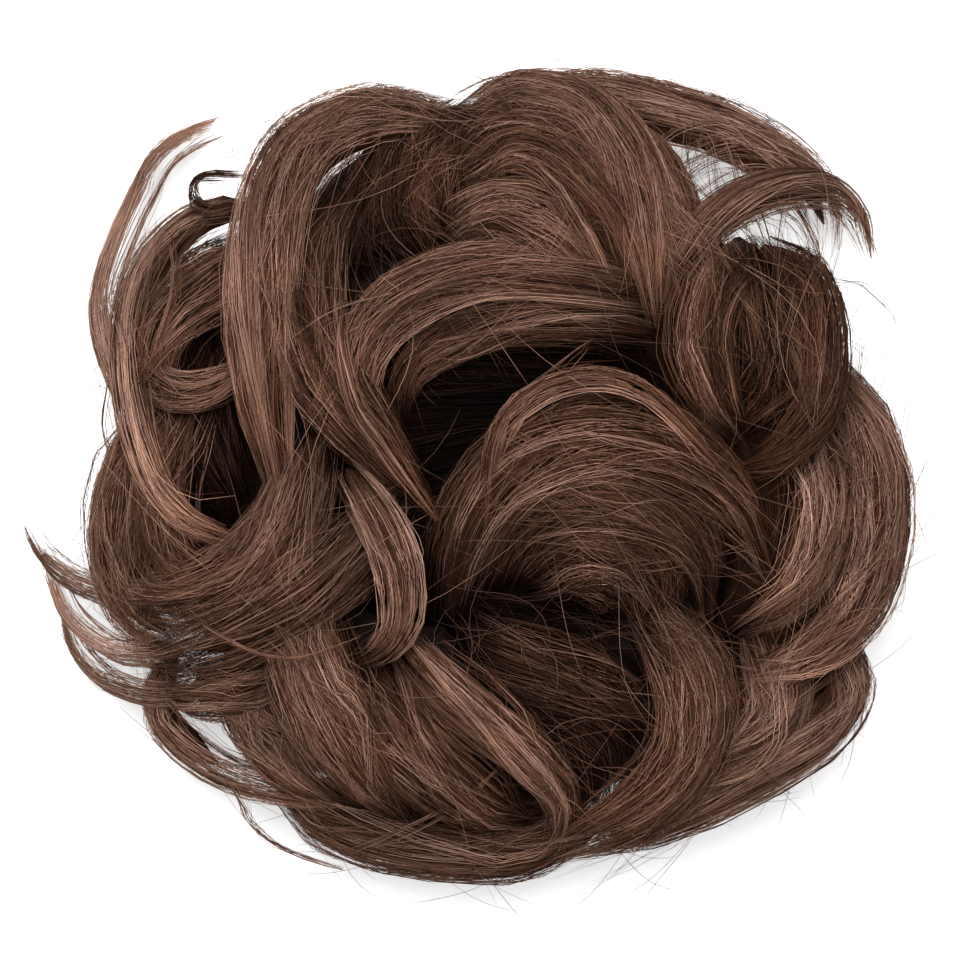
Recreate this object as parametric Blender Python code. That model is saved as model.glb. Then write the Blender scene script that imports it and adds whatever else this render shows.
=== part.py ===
"""Top knot hairpiece: curled locks of brown synthetic fibre on a ring of elastic.

The piece lies on a flat surface with its elastic down. +Z is up, +X runs to the right and +Y
away from the viewer, who looks straight down on it. The origin is the middle of the floor
that the piece covers. All lengths are in metres.
"""

from math import cos, hypot, pi, radians, sin, sqrt

import bmesh
import bpy
from mathutils import Vector

# Driving sizes

BUN_RADIUS = 0.075
BUN_HEIGHT = 0.063
BAND_OPENING = 0.044
BAND_WIDTH = 0.007
BAND_THICKNESS = 0.004
SEAT_CLEARANCE = 0.0003
HOLLOW_HEIGHT = 0.034
ROOT_RING_WIDTH = 0.030
ROOT_RING_HEIGHT = 0.036

# How far the roots reach into the hollow before it is cut, so that its wall is cut clean

ROOT_LAP = 0.001

# Fineness of the solids

STATION_SPACING = 0.0088
FEWEST_STATIONS = 5
CURVE_STEPS = 12
WIDE_LOCK_SIDES = 7
THIN_LOCK_SIDES = 6
THIN_LOCK = 0.10
BAND_STEPS = 48
ROOT_RING_STEPS = 32

# The dome that the locks lie on would meet the floor this far out, as a share of BUN_RADIUS.
# Past DOME_RIM, a share of that reach, it gets no lower, so that wisps trail off above the floor.

DOME_REACH = 1.13
DOME_RIM = 0.98

# Locks that show from above. Lengths are shares of BUN_RADIUS. The three layers, at the root,
# the middle and the tip, are shares of the dome's height over that spot. A route is a list of
# places in plan, from the root to the tip.

LOCKS = (
    # name, width, thickness, (root, middle, tip) layers, route
    ("left_top_sweep", 0.19, 0.15, (0.80, 0.92, 0.86),
     ((-0.08, 0.87), (-0.28, 0.875), (-0.46, 0.79), (-0.54, 0.63), (-0.565, 0.40), (-0.55, 0.16),
      (-0.52, -0.04))),
    ("inner_left_fall", 0.17, 0.14, (0.70, 0.86, 0.84),
     ((-0.34, 0.72), (-0.42, 0.56), (-0.44, 0.38), (-0.39, 0.22), (-0.28, 0.08), (-0.17, -0.06))),
    ("crown_fold", 0.17, 0.13, (0.72, 0.80, 0.66),
     ((-0.05, 0.90), (-0.15, 0.77), (-0.18, 0.63), (-0.15, 0.50))),
    ("crown_shadow", 0.15, 0.12, (0.62, 0.66, 0.62),
     ((-0.20, 0.86), (-0.28, 0.73), (-0.31, 0.58), (-0.28, 0.42))),
    ("central_arc_upper", 0.13, 0.12, (0.78, 0.90, 0.84),
     ((0.42, 0.42), (0.22, 0.46), (0.00, 0.49), (-0.18, 0.45), (-0.30, 0.36), (-0.34, 0.22),
      (-0.29, 0.08))),
    ("central_arc_lower", 0.11, 0.11, (0.72, 0.82, 0.76),
     ((0.42, 0.35), (0.22, 0.38), (0.02, 0.37), (-0.13, 0.31), (-0.22, 0.23), (-0.24, 0.10))),
    ("top_centre_sweep", 0.20, 0.14, (0.78, 0.96, 0.86),
     ((-0.08, 0.86), (0.05, 0.90), (0.21, 0.86), (0.31, 0.74), (0.36, 0.58), (0.38, 0.42))),
    ("crown_inner", 0.18, 0.14, (0.78, 0.92, 0.84),
     ((-0.12, 0.73), (0.03, 0.79), (0.17, 0.74), (0.27, 0.60), (0.32, 0.44))),
    ("crown_low", 0.17, 0.14, (0.72, 0.86, 0.82),
     ((-0.14, 0.56), (0.00, 0.62), (0.14, 0.58), (0.26, 0.48))),
    ("top_right_outline", 0.15, 0.14, (0.78, 0.74, 0.72),
     ((0.00, 0.89), (0.12, 0.915), (0.26, 0.91), (0.42, 0.875), (0.54, 0.845), (0.65, 0.785), (0.75, 0.71),
      (0.80, 0.60), (0.79, 0.46))),
    ("top_right_inner", 0.17, 0.13, (0.80, 0.86, 0.82),
     ((0.18, 0.86), (0.32, 0.79), (0.40, 0.68), (0.43, 0.54), (0.42, 0.42))),
    ("right_arch", 0.09, 0.09, (0.86, 0.98, 0.80),
     ((0.42, 0.49), (0.50, 0.60), (0.60, 0.67), (0.71, 0.70), (0.80, 0.69), (0.87, 0.63), (0.905, 0.53))),
    ("right_fall_inner", 0.13, 0.12, (0.86, 0.92, 0.78),
     ((0.62, 0.56), (0.54, 0.50), (0.50, 0.41), (0.49, 0.30), (0.53, 0.18), (0.60, 0.09))),
    ("right_fall_middle", 0.20, 0.13, (0.76, 0.80, 0.70),
     ((0.58, 0.58), (0.63, 0.44), (0.66, 0.30), (0.65, 0.17), (0.59, 0.06))),
    ("right_fall_outer", 0.14, 0.13, (0.84, 0.94, 0.78),
     ((0.64, 0.56), (0.725, 0.49), (0.765, 0.39), (0.775, 0.27), (0.75, 0.15), (0.66, 0.05),
      (0.55, 0.01))),
    ("right_broad", 0.20, 0.17, (0.74, 0.80, 0.80),
     ((0.79, 0.30), (0.86, 0.14), (0.90, -0.02), (0.89, -0.19), (0.83, -0.33), (0.71, -0.44),
      (0.55, -0.49))),
    ("right_broad_inner", 0.18, 0.14, (0.66, 0.76, 0.72),
     ((0.72, 0.16), (0.77, 0.00), (0.75, -0.15), (0.68, -0.28), (0.57, -0.37))),
    ("big_curl_outer", 0.17, 0.14, (0.74, 0.94, 0.80),
     ((-0.12, -0.34), (-0.08, -0.16), (-0.01, -0.02), (0.09, 0.06), (0.22, 0.10), (0.36, 0.08),
      (0.48, 0.02), (0.58, -0.08), (0.64, -0.20))),
    ("big_curl_inner", 0.17, 0.14, (0.72, 0.90, 0.80),
     ((-0.02, -0.28), (0.04, -0.13), (0.14, -0.06), (0.27, -0.05), (0.40, -0.10), (0.48, -0.20),
      (0.50, -0.30))),
    ("big_curl_heart", 0.18, 0.13, (0.74, 0.86, 0.76),
     ((0.06, -0.26), (0.16, -0.18), (0.28, -0.18), (0.36, -0.26), (0.34, -0.36))),
    ("curl_highlight", 0.05, 0.05, (0.84, 0.98, 0.88),
     ((-0.03, -0.14), (-0.02, 0.02), (0.01, 0.13), (0.10, 0.21), (0.22, 0.24), (0.34, 0.21), (0.44, 0.13),
      (0.54, 0.02))),
    ("bottom_inner_sweep", 0.20, 0.14, (0.54, 0.58, 0.60),
     ((-0.44, -0.74), (-0.27, -0.79), (-0.08, -0.81), (0.10, -0.80), (0.25, -0.72))),
    ("c_curl", 0.18, 0.15, (0.80, 0.94, 0.80),
     ((0.36, -0.30), (0.44, -0.41), (0.47, -0.54), (0.44, -0.67), (0.35, -0.77), (0.22, -0.85),
      (0.10, -0.92))),
    ("lower_right_outline", 0.18, 0.15, (0.72, 0.74, 0.72),
     ((0.81, -0.35), (0.84, -0.49), (0.775, -0.60), (0.655, -0.68), (0.515, -0.755), (0.36, -0.835),
      (0.18, -0.90))),
    ("lower_right_inner", 0.24, 0.15, (0.70, 0.76, 0.72),
     ((0.64, -0.37), (0.66, -0.51), (0.60, -0.62), (0.49, -0.70), (0.35, -0.77))),
    ("hook_left", 0.09, 0.09, (0.84, 0.94, 0.80),
     ((-0.36, 0.02), (-0.27, -0.10), (-0.225, -0.22), (-0.235, -0.345), (-0.29, -0.42), (-0.36, -0.45))),
    ("lower_left_fall", 0.21, 0.16, (0.76, 0.90, 0.76),
     ((-0.47, -0.26), (-0.44, -0.42), (-0.38, -0.57), (-0.30, -0.70), (-0.22, -0.82))),
    ("lower_left_edge", 0.20, 0.14, (0.66, 0.72, 0.70),
     ((-0.62, -0.42), (-0.58, -0.56), (-0.50, -0.68), (-0.40, -0.78))),
    ("lower_middle_fall", 0.18, 0.14, (0.72, 0.86, 0.74),
     ((-0.32, -0.42), (-0.25, -0.56), (-0.15, -0.68), (-0.04, -0.77), (0.08, -0.83))),
    ("bottom_sweep", 0.19, 0.15, (0.60, 0.66, 0.74),
     ((-0.54, -0.74), (-0.41, -0.82), (-0.24, -0.87), (-0.06, -0.89), (0.08, -0.885), (0.20, -0.825),
      (0.31, -0.73))),
    ("small_diagonal", 0.10, 0.09, (0.80, 0.92, 0.84),
     ((-0.24, -0.38), (-0.14, -0.47), (-0.02, -0.57), (0.09, -0.67), (0.16, -0.77), (0.15, -0.88))),
    ("lower_centre", 0.17, 0.13, (0.64, 0.76, 0.68),
     ((-0.12, -0.36), (0.04, -0.42), (0.18, -0.47), (0.30, -0.55), (0.35, -0.66))),
    ("lower_heart", 0.18, 0.13, (0.62, 0.70, 0.68),
     ((-0.08, -0.52), (0.06, -0.56), (0.18, -0.62), (0.22, -0.74), (0.14, -0.84))),
    ("bottom_left_strand", 0.09, 0.08, (0.62, 0.56, 0.66),
     ((-0.78, -0.42), (-0.82, -0.51), (-0.81, -0.58), (-0.76, -0.64), (-0.675, -0.70), (-0.585, -0.735),
      (-0.47, -0.765), (-0.34, -0.79))),
    ("left_bulge", 0.17, 0.15, (0.66, 0.74, 0.70),
     ((-0.81, 0.18), (-0.875, 0.05), (-0.91, -0.08), (-0.91, -0.21), (-0.86, -0.33), (-0.74, -0.42))),
    ("left_bulge_inner", 0.23, 0.14, (0.62, 0.72, 0.70),
     ((-0.72, 0.24), (-0.79, 0.08), (-0.81, -0.08), (-0.76, -0.23), (-0.62, -0.34))),
    ("left_wisp_upper", 0.17, 0.13, (0.80, 0.84, 0.72),
     ((-0.44, 0.10), (-0.48, -0.08), (-0.57, -0.21), (-0.70, -0.28), (-0.83, -0.30), (-0.93, -0.285))),
    ("left_wisp_middle", 0.17, 0.13, (0.78, 0.84, 0.70),
     ((-0.24, -0.04), (-0.34, -0.18), (-0.48, -0.30), (-0.64, -0.38), (-0.80, -0.42), (-0.90, -0.41))),
    ("left_wisp_lower", 0.15, 0.13, (0.68, 0.76, 0.66),
     ((-0.46, -0.44), (-0.59, -0.49), (-0.72, -0.515), (-0.83, -0.505))),
    ("left_tip_upper", 0.055, 0.05, (0.72, 0.68, 0.62),
     ((-0.76, -0.285), (-0.88, -0.285), (-0.977, -0.262), (-1.06, -0.22), (-1.115, -0.16),
      (-1.139, -0.107))),
    ("left_tip_middle", 0.055, 0.05, (0.70, 0.66, 0.60),
     ((-0.76, -0.42), (-0.86, -0.42), (-0.92, -0.41), (-0.985, -0.373), (-1.035, -0.325), (-1.067, -0.262),
      (-1.083, -0.225))),
    ("left_tip_lower", 0.055, 0.05, (0.66, 0.64, 0.60),
     ((-0.70, -0.515), (-0.82, -0.525), (-0.93, -0.495), (-0.99, -0.45), (-1.03, -0.385), (-1.05, -0.31))),
    ("left_hoop", 0.09, 0.09, (0.78, 0.84, 0.84),
     ((-0.56, 0.64), (-0.67, 0.645), (-0.77, 0.59), (-0.85, 0.49), (-0.885, 0.37), (-0.885, 0.24),
      (-0.86, 0.10), (-0.81, -0.03), (-0.72, -0.12), (-0.60, -0.16))),
    ("left_outer_wisp", 0.075, 0.06, (0.70, 0.80, 0.80),
     ((-0.85, 0.12), (-0.89, 0.20), (-0.93, 0.30), (-0.95, 0.405), (-0.935, 0.50), (-0.90, 0.60),
      (-0.86, 0.69), (-0.815, 0.77), (-0.75, 0.82), (-0.675, 0.848))),
    ("left_crescent", 0.09, 0.08, (0.66, 0.80, 0.76),
     ((-0.86, 0.36), (-0.86, 0.27), (-0.79, 0.22), (-0.71, 0.21), (-0.63, 0.24), (-0.57, 0.31))),
    ("left_upper_fill", 0.22, 0.13, (0.64, 0.74, 0.70),
     ((-0.54, 0.56), (-0.66, 0.48), (-0.77, 0.38), (-0.82, 0.26), (-0.80, 0.14))),
    ("left_dark_fill", 0.23, 0.13, (0.56, 0.62, 0.62),
     ((-0.58, 0.42), (-0.68, 0.30), (-0.70, 0.16), (-0.66, 0.01), (-0.60, -0.13))),
)

# The locks that cross the hollow from side to side close it above the wearer's own hair.

CROSSING_LOCKS = (
    # name, width, thickness, rise over the hollow's roof, route
    ("crossing_back", 0.20, 0.13, 0.067,
     ((-0.52, 0.22), (-0.26, 0.27), (0.02, 0.28), (0.30, 0.25), (0.54, 0.20))),
    ("crossing_middle", 0.22, 0.13, 0.051,
     ((-0.54, 0.00), (-0.27, 0.08), (0.01, 0.12), (0.29, 0.09), (0.56, 0.02))),
    ("crossing_front", 0.24, 0.14, 0.059,
     ((-0.50, -0.22), (-0.25, -0.14), (0.01, -0.10), (0.27, -0.14), (0.50, -0.24))),
)

# The row of plain locks that closes the underside, each turned on from the last

UNDER_LOCKS = 12
UNDER_WIDTH = 0.24
UNDER_THICKNESS = 0.17
UNDER_ROUTE = (
    # radius, turn in degrees, height as a share of BUN_HEIGHT
    (0.45, 0, 0.10),
    (0.58, 10, 0.10),
    (0.69, 24, 0.14),
    (0.745, 43, 0.25),
    (0.71, 61, 0.38),
)
UNDER_REACH_CHANGE = 0.04
UNDER_REACH_WAVES = 3

# How full a lock is along its length, as a share of its width

FULLNESS = (
    # share of the length, share of the width
    (0.00, 0.60),
    (0.15, 0.90),
    (0.35, 1.00),
    (0.65, 0.95),
    (0.85, 0.66),
    (1.00, 0.24),
)

# The gathered roots in section, from the floor side of the elastic round to the hollow.
# Lengths are shares of ROOT_RING_WIDTH outwards and ROOT_RING_HEIGHT upwards.

ROOT_RING_SECTION = (
    # outwards from the hollow, up from the floor
    (0.00, 0.10),
    (0.30, 0.02),
    (0.70, 0.06),
    (0.95, 0.28),
    (1.00, 0.55),
    (0.85, 0.85),
    (0.55, 1.00),
    (0.22, 0.95),
    (0.00, 0.75),
)

# The hollow's dome, as shares of its radius and height

HOLLOW_SECTION = (
    # share of the radius, share of the height
    (1.00, 0.62),
    (0.90, 0.84),
    (0.62, 0.96),
    (0.20, 1.00),
)

CUTTER_DEPTH = 0.02
WELD = 0.000002

# Looks: linear colours, roughness, and the angle up to which an edge is shaded smooth

FIBRE_BROWN = (0.085, 0.040, 0.027, 1.0)
FIBRE_ROUGHNESS = 0.5
FIBRE_SMOOTH_ANGLE = radians(50)
ELASTIC_BROWN = (0.020, 0.010, 0.008, 1.0)
ELASTIC_ROUGHNESS = 0.8
ELASTIC_SMOOTH_ANGLE = radians(40)


def clear_scene():
    for old in list(bpy.data.objects):
        bpy.data.objects.remove(old, do_unlink=True)


def make_material(name, colour, roughness):
    material = bpy.data.materials.new(name)
    material.use_nodes = True
    shader = material.node_tree.nodes["Principled BSDF"]
    shader.inputs["Base Color"].default_value = colour
    shader.inputs["Roughness"].default_value = roughness
    shader.inputs["Metallic"].default_value = 0.0
    material.diffuse_color = colour
    return material


def add_object(name, mesh_data):
    """A new object from a bmesh, with its faces turned outwards."""
    bmesh.ops.recalc_face_normals(mesh_data, faces=mesh_data.faces)
    mesh = bpy.data.meshes.new(name)
    mesh_data.to_mesh(mesh)
    mesh_data.free()
    new = bpy.data.objects.new(name, mesh)
    bpy.context.collection.objects.link(new)
    return new


def turned_ring(name, section, steps):
    """A solid ring from a closed section of (radius, height) places."""
    mesh_data = bmesh.new()
    corners = [mesh_data.verts.new((radius, 0.0, height)) for radius, height in section]
    edges = [mesh_data.edges.new((corner, corners[place - 1])) for place, corner in enumerate(corners)]
    bmesh.ops.spin(mesh_data, geom=corners + edges, cent=(0, 0, 0), axis=(0, 0, 1),
                   angle=2 * pi, steps=steps, use_merge=True)
    return add_object(name, mesh_data)


def turned_block(name, section, steps):
    """A solid block with one pole at each end, from an open section of (radius, height) places."""
    mesh_data = bmesh.new()
    rings = []
    for radius, height in section:
        ring = []
        for step in range(steps):
            turn = 2 * pi * step / steps
            ring.append(mesh_data.verts.new((radius * cos(turn), radius * sin(turn), height)))
        rings.append(ring)
    close_with_caps(mesh_data, rings)
    return add_object(name, mesh_data)


def close_with_caps(mesh_data, rings):
    """Faces between rings of equal count, and a flat cap at each end."""
    count = len(rings[0])
    for near, far in zip(rings, rings[1:]):
        for place in range(count):
            following = (place + 1) % count
            mesh_data.faces.new((near[place], near[following], far[following], far[place]))
    mesh_data.faces.new(rings[0])
    mesh_data.faces.new(rings[-1])


def smooth_route(points, spacing):
    """Evenly spaced places on a smooth curve through the points."""
    extended = [points[0] * 2 - points[1], *points, points[-1] * 2 - points[-2]]
    fine = []
    for first, second, third, fourth in zip(extended, extended[1:], extended[2:], extended[3:]):
        for step in range(CURVE_STEPS):
            t = step / CURVE_STEPS
            fine.append(0.5 * (2 * second + (third - first) * t
                               + (2 * first - 5 * second + 4 * third - fourth) * t ** 2
                               + (3 * second - first - 3 * third + fourth) * t ** 3))
    fine.append(points[-1])
    reached = [0.0]
    for near, far in zip(fine, fine[1:]):
        reached.append(reached[-1] + (far - near).length)
    stations = max(FEWEST_STATIONS, round(reached[-1] / spacing) + 1)
    route = []
    place = 0
    for station in range(stations):
        wanted = reached[-1] * station / (stations - 1)
        while place < len(fine) - 2 and reached[place + 1] < wanted:
            place += 1
        stretch = reached[place + 1] - reached[place]
        share = (wanted - reached[place]) / stretch
        route.append(fine[place].lerp(fine[place + 1], min(share, 1.0)))
    return route


def read_table(table, wanted):
    """The second column of a table, read in between at a value of its first."""
    for (near, near_value), (far, far_value) in zip(table, table[1:]):
        if wanted <= far:
            return near_value + (far_value - near_value) * (wanted - near) / (far - near)
    return table[-1][1]


def dome_height(x, y):
    outside = min(hypot(x, y) / (DOME_REACH * BUN_RADIUS), DOME_RIM)
    return BUN_HEIGHT * sqrt(1 - outside ** 2)


def dome_normal(place):
    reach = DOME_REACH * BUN_RADIUS
    return Vector((place.x / reach ** 2, place.y / reach ** 2, place.z / BUN_HEIGHT ** 2)).normalized()


def lock_body(name, places, width, thickness):
    """One closed lock: an oval section swept along a route, flat side to the dome."""
    sides = THIN_LOCK_SIDES if width < THIN_LOCK * BUN_RADIUS else WIDE_LOCK_SIDES
    mesh_data = bmesh.new()
    rings = []
    last = len(places) - 1
    for station, place in enumerate(places):
        along = (places[min(station + 1, last)] - places[max(station - 1, 0)]).normalized()
        across = along.cross(dome_normal(place)).normalized()
        outwards = across.cross(along)
        fullness = read_table(FULLNESS, station / last)
        ring = []
        for side in range(sides):
            turn = 2 * pi * side / sides
            ring.append(mesh_data.verts.new(place + across * (cos(turn) * width * fullness / 2)
                                            + outwards * (sin(turn) * thickness * fullness / 2)))
        rings.append(ring)
    close_with_caps(mesh_data, rings)
    return add_object(name, mesh_data)


def shown_lock(name, width, thickness, layers, route):
    """A lock that shows from above, laid on the dome at its layers."""
    plan = smooth_route([Vector((x, y, 0)) * BUN_RADIUS for x, y in route], STATION_SPACING)
    root, middle, tip = layers
    heights = ((0.0, root), (0.5, middle), (1.0, tip))
    places = []
    for station, place in enumerate(plan):
        layer = read_table(heights, station / (len(plan) - 1))
        lift = layer * dome_height(place.x, place.y) - thickness * BUN_RADIUS / 2
        places.append(Vector((place.x, place.y, lift)))
    return lock_body(name, places, width * BUN_RADIUS, thickness * BUN_RADIUS)


def crossing_lock(name, width, thickness, rise, route):
    """A lock that bridges the hollow a little above its roof."""
    plan = smooth_route([Vector((x, y, 0)) * BUN_RADIUS for x, y in route], STATION_SPACING)
    crest = HOLLOW_HEIGHT + rise * BUN_RADIUS
    places = []
    for place in plan:
        height = crest * dome_height(place.x, place.y) / BUN_HEIGHT
        places.append(Vector((place.x, place.y, height)))
    return lock_body(name, places, width * BUN_RADIUS, thickness * BUN_RADIUS)


def under_lock(number):
    """One lock of the hidden row under the bun."""
    start = 2 * pi * number / UNDER_LOCKS
    reach = 1 + UNDER_REACH_CHANGE * sin(UNDER_REACH_WAVES * start)
    points = []
    for radius, turn, height in UNDER_ROUTE:
        angle = start - radians(turn)
        outwards = radius * reach * BUN_RADIUS
        points.append(Vector((outwards * cos(angle), outwards * sin(angle), height * BUN_HEIGHT)))
    places = smooth_route(points, STATION_SPACING)
    return lock_body("under_lock", places, UNDER_WIDTH * BUN_RADIUS, UNDER_THICKNESS * BUN_RADIUS)


def root_ring():
    """The gathered roots round the hollow and over the elastic."""
    inner = BAND_OPENING / 2 - ROOT_LAP
    section = [(inner + out * ROOT_RING_WIDTH, up * ROOT_RING_HEIGHT) for out, up in ROOT_RING_SECTION]
    return turned_ring("hair_locks", section, ROOT_RING_STEPS)


def hollow_cutter():
    """The room for the wearer's own bun, open at the floor and domed above."""
    inner = BAND_OPENING / 2
    section = [(inner, -CUTTER_DEPTH)]
    section += [(inner * out, HOLLOW_HEIGHT * up) for out, up in HOLLOW_SECTION]
    return turned_block("hollow_cutter", section, ROOT_RING_STEPS)


def band_seat_cutter():
    """The seat of the elastic in the roots, open at the floor."""
    inner = BAND_OPENING / 2 - SEAT_CLEARANCE
    outer = BAND_OPENING / 2 + BAND_WIDTH + SEAT_CLEARANCE
    top = BAND_THICKNESS + SEAT_CLEARANCE
    section = ((inner, -CUTTER_DEPTH), (outer, -CUTTER_DEPTH), (outer, top), (inner, top))
    return turned_ring("band_seat_cutter", section, BAND_STEPS)


def floor_cutter():
    """Everything under the floor that the piece lies on."""
    half = 2 * BUN_RADIUS
    mesh_data = bmesh.new()
    bmesh.ops.create_cube(mesh_data, size=1.0)
    bmesh.ops.scale(mesh_data, vec=(2 * half, 2 * half, CUTTER_DEPTH), verts=mesh_data.verts)
    bmesh.ops.translate(mesh_data, vec=(0, 0, -CUTTER_DEPTH / 2), verts=mesh_data.verts)
    return add_object("floor_cutter", mesh_data)


def apply_boolean(target, operation, tool=None, tools=None):
    """One Boolean, made final, with its tools removed.

    So many locks cross at slight angles that only the solver for closed solids leaves no slivers.
    """
    modifier = target.modifiers.new("join", "BOOLEAN")
    modifier.operation = operation
    modifier.solver = "MANIFOLD"
    if tools is None:
        modifier.object = tool
        spent = [tool]
    else:
        modifier.operand_type = "COLLECTION"
        modifier.collection = tools
        spent = list(tools.objects)
    bpy.context.view_layer.objects.active = target
    bpy.ops.object.modifier_apply(modifier=modifier.name)
    for old in spent:
        bpy.data.objects.remove(old, do_unlink=True)


def shells_of(mesh_data):
    """The closed shells of a mesh, as lists of faces. Shells that only touch are apart."""
    left = set(mesh_data.faces)
    shells = []
    while left:
        start = left.pop()
        shell = [start]
        for face in shell:
            for edge in face.edges:
                if len(edge.link_faces) > 2:
                    continue
                for neighbour in edge.link_faces:
                    if neighbour in left:
                        left.remove(neighbour)
                        shell.append(neighbour)
        shells.append(shell)
    return shells


def shell_volume(shell):
    """The volume inside a shell, below zero where its faces look into a pocket."""
    volume = 0.0
    for face in shell:
        corners = [vertex.co for vertex in face.verts]
        for near, far in zip(corners[1:], corners[2:]):
            volume += corners[0].dot(near.cross(far)) / 6
    return volume


def keep_outer_shell(target):
    """Weld what all but touches, then drop slivers and the pockets that nothing reaches."""
    mesh_data = bmesh.new()
    mesh_data.from_mesh(target.data)
    bmesh.ops.remove_doubles(mesh_data, verts=mesh_data.verts, dist=WELD)
    bmesh.ops.dissolve_degenerate(mesh_data, edges=mesh_data.edges, dist=WELD)
    shells = sorted(shells_of(mesh_data), key=shell_volume)
    spare = [face for shell in shells[:-1] for face in shell]
    bmesh.ops.delete(mesh_data, geom=spare, context="FACES")
    mesh_data.to_mesh(target.data)
    mesh_data.free()


def make_hair():
    """All locks fused to the gathered roots."""
    hair = root_ring()
    pieces = [shown_lock(*row) for row in LOCKS]
    pieces += [crossing_lock(*row) for row in CROSSING_LOCKS]
    pieces += [under_lock(number) for number in range(UNDER_LOCKS)]
    loose = bpy.data.collections.new("loose_locks")
    bpy.context.scene.collection.children.link(loose)
    for piece in pieces:
        bpy.context.collection.objects.unlink(piece)
        loose.objects.link(piece)
    apply_boolean(hair, "UNION", tools=loose)
    bpy.data.collections.remove(loose)
    apply_boolean(hair, "DIFFERENCE", tool=floor_cutter())
    apply_boolean(hair, "DIFFERENCE", tool=hollow_cutter())
    apply_boolean(hair, "DIFFERENCE", tool=band_seat_cutter())
    keep_outer_shell(hair)
    hair.data.materials.append(make_material("brown_synthetic_fibre", FIBRE_BROWN, FIBRE_ROUGHNESS))
    return hair


def make_band():
    """The flat ring of elastic."""
    inner = BAND_OPENING / 2
    outer = inner + BAND_WIDTH
    section = ((inner, 0.0), (outer, 0.0), (outer, BAND_THICKNESS), (inner, BAND_THICKNESS))
    band = turned_ring("elastic_band", section, BAND_STEPS)
    band.data.materials.append(make_material("brown_elastic", ELASTIC_BROWN, ELASTIC_ROUGHNESS))
    return band


def centre_on_floor(pieces):
    """Move the meshes so that the origin is the middle of the floor that they cover."""
    corners = [vertex.co for piece in pieces for vertex in piece.data.vertices]
    middle_x = (min(c.x for c in corners) + max(c.x for c in corners)) / 2
    middle_y = (min(c.y for c in corners) + max(c.y for c in corners)) / 2
    for piece in pieces:
        for vertex in piece.data.vertices:
            vertex.co -= Vector((middle_x, middle_y, 0))


def shade(piece, smooth_angle):
    piece.data.shade_smooth()
    piece.data.set_sharp_from_angle(angle=smooth_angle)


clear_scene()
hair_locks = make_hair()
elastic_band = make_band()
centre_on_floor((hair_locks, elastic_band))
shade(hair_locks, FIBRE_SMOOTH_ANGLE)
shade(elastic_band, ELASTIC_SMOOTH_ANGLE)
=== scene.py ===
"""Looks of the top knot hairpiece: curled brown synthetic locks on a ring of elastic."""

from math import cos, pi, sin

import bpy
import numpy as np
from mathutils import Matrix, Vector
from mathutils.bvhtree import BVHTree


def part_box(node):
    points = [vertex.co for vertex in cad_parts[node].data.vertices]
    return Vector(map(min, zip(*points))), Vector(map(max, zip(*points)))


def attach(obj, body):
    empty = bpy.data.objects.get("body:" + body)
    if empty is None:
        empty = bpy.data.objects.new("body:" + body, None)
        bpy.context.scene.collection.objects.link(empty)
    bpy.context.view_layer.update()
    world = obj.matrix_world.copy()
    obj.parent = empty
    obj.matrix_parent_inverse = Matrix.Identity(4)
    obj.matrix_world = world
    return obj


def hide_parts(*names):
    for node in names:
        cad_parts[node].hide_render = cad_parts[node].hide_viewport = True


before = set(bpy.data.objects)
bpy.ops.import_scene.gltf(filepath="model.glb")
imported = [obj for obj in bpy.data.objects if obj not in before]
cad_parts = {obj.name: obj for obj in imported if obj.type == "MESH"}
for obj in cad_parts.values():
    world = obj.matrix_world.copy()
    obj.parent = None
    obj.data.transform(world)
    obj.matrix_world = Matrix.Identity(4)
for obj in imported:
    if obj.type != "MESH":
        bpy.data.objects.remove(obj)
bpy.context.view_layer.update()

# Lock cores
# The dense inside of every curled lock: crimped synthetic fibre, gathered and sewn round the
# elastic. Loose fibres lie over them, so a core only shows between these, as fine fibre painted dark as
# painted shade.

BUN_RADIUS = 0.075
BUN_HEIGHT = 0.063
DOME_REACH = 1.13
DOME_RIM = 0.98
HOLLOW_HEIGHT = 0.034
FLOOR_GAP = 0.0003
GUIDE_STATIONS = 48
CURVE_STEPS = 16
CURL_READ = 6
CURL_ON = 8
EVEN_PACE = 0.45
LEAST_BEND = 0.01
THREAD_SEED = 11

# A core has ridges along it, where threads bunch, and rounded ends. The ends are shares of its
# length, and what is left of its size right at the root and the tip.
CORE_SIDES = 16
CORE_SPACING = 0.0036
CORE_RIDGE = 0.00030
CORE_RIDGES = (5, 7, 10)
RIDGE_PACE = (0.3, 1.2)
RIDGE_DRIFT = 1.2
CORE_ROOT = 0.16
CORE_TIP = 0.28
CORE_ENDS = (0.12, 0.02)
CORE_ROUNDING = 0.7

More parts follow.
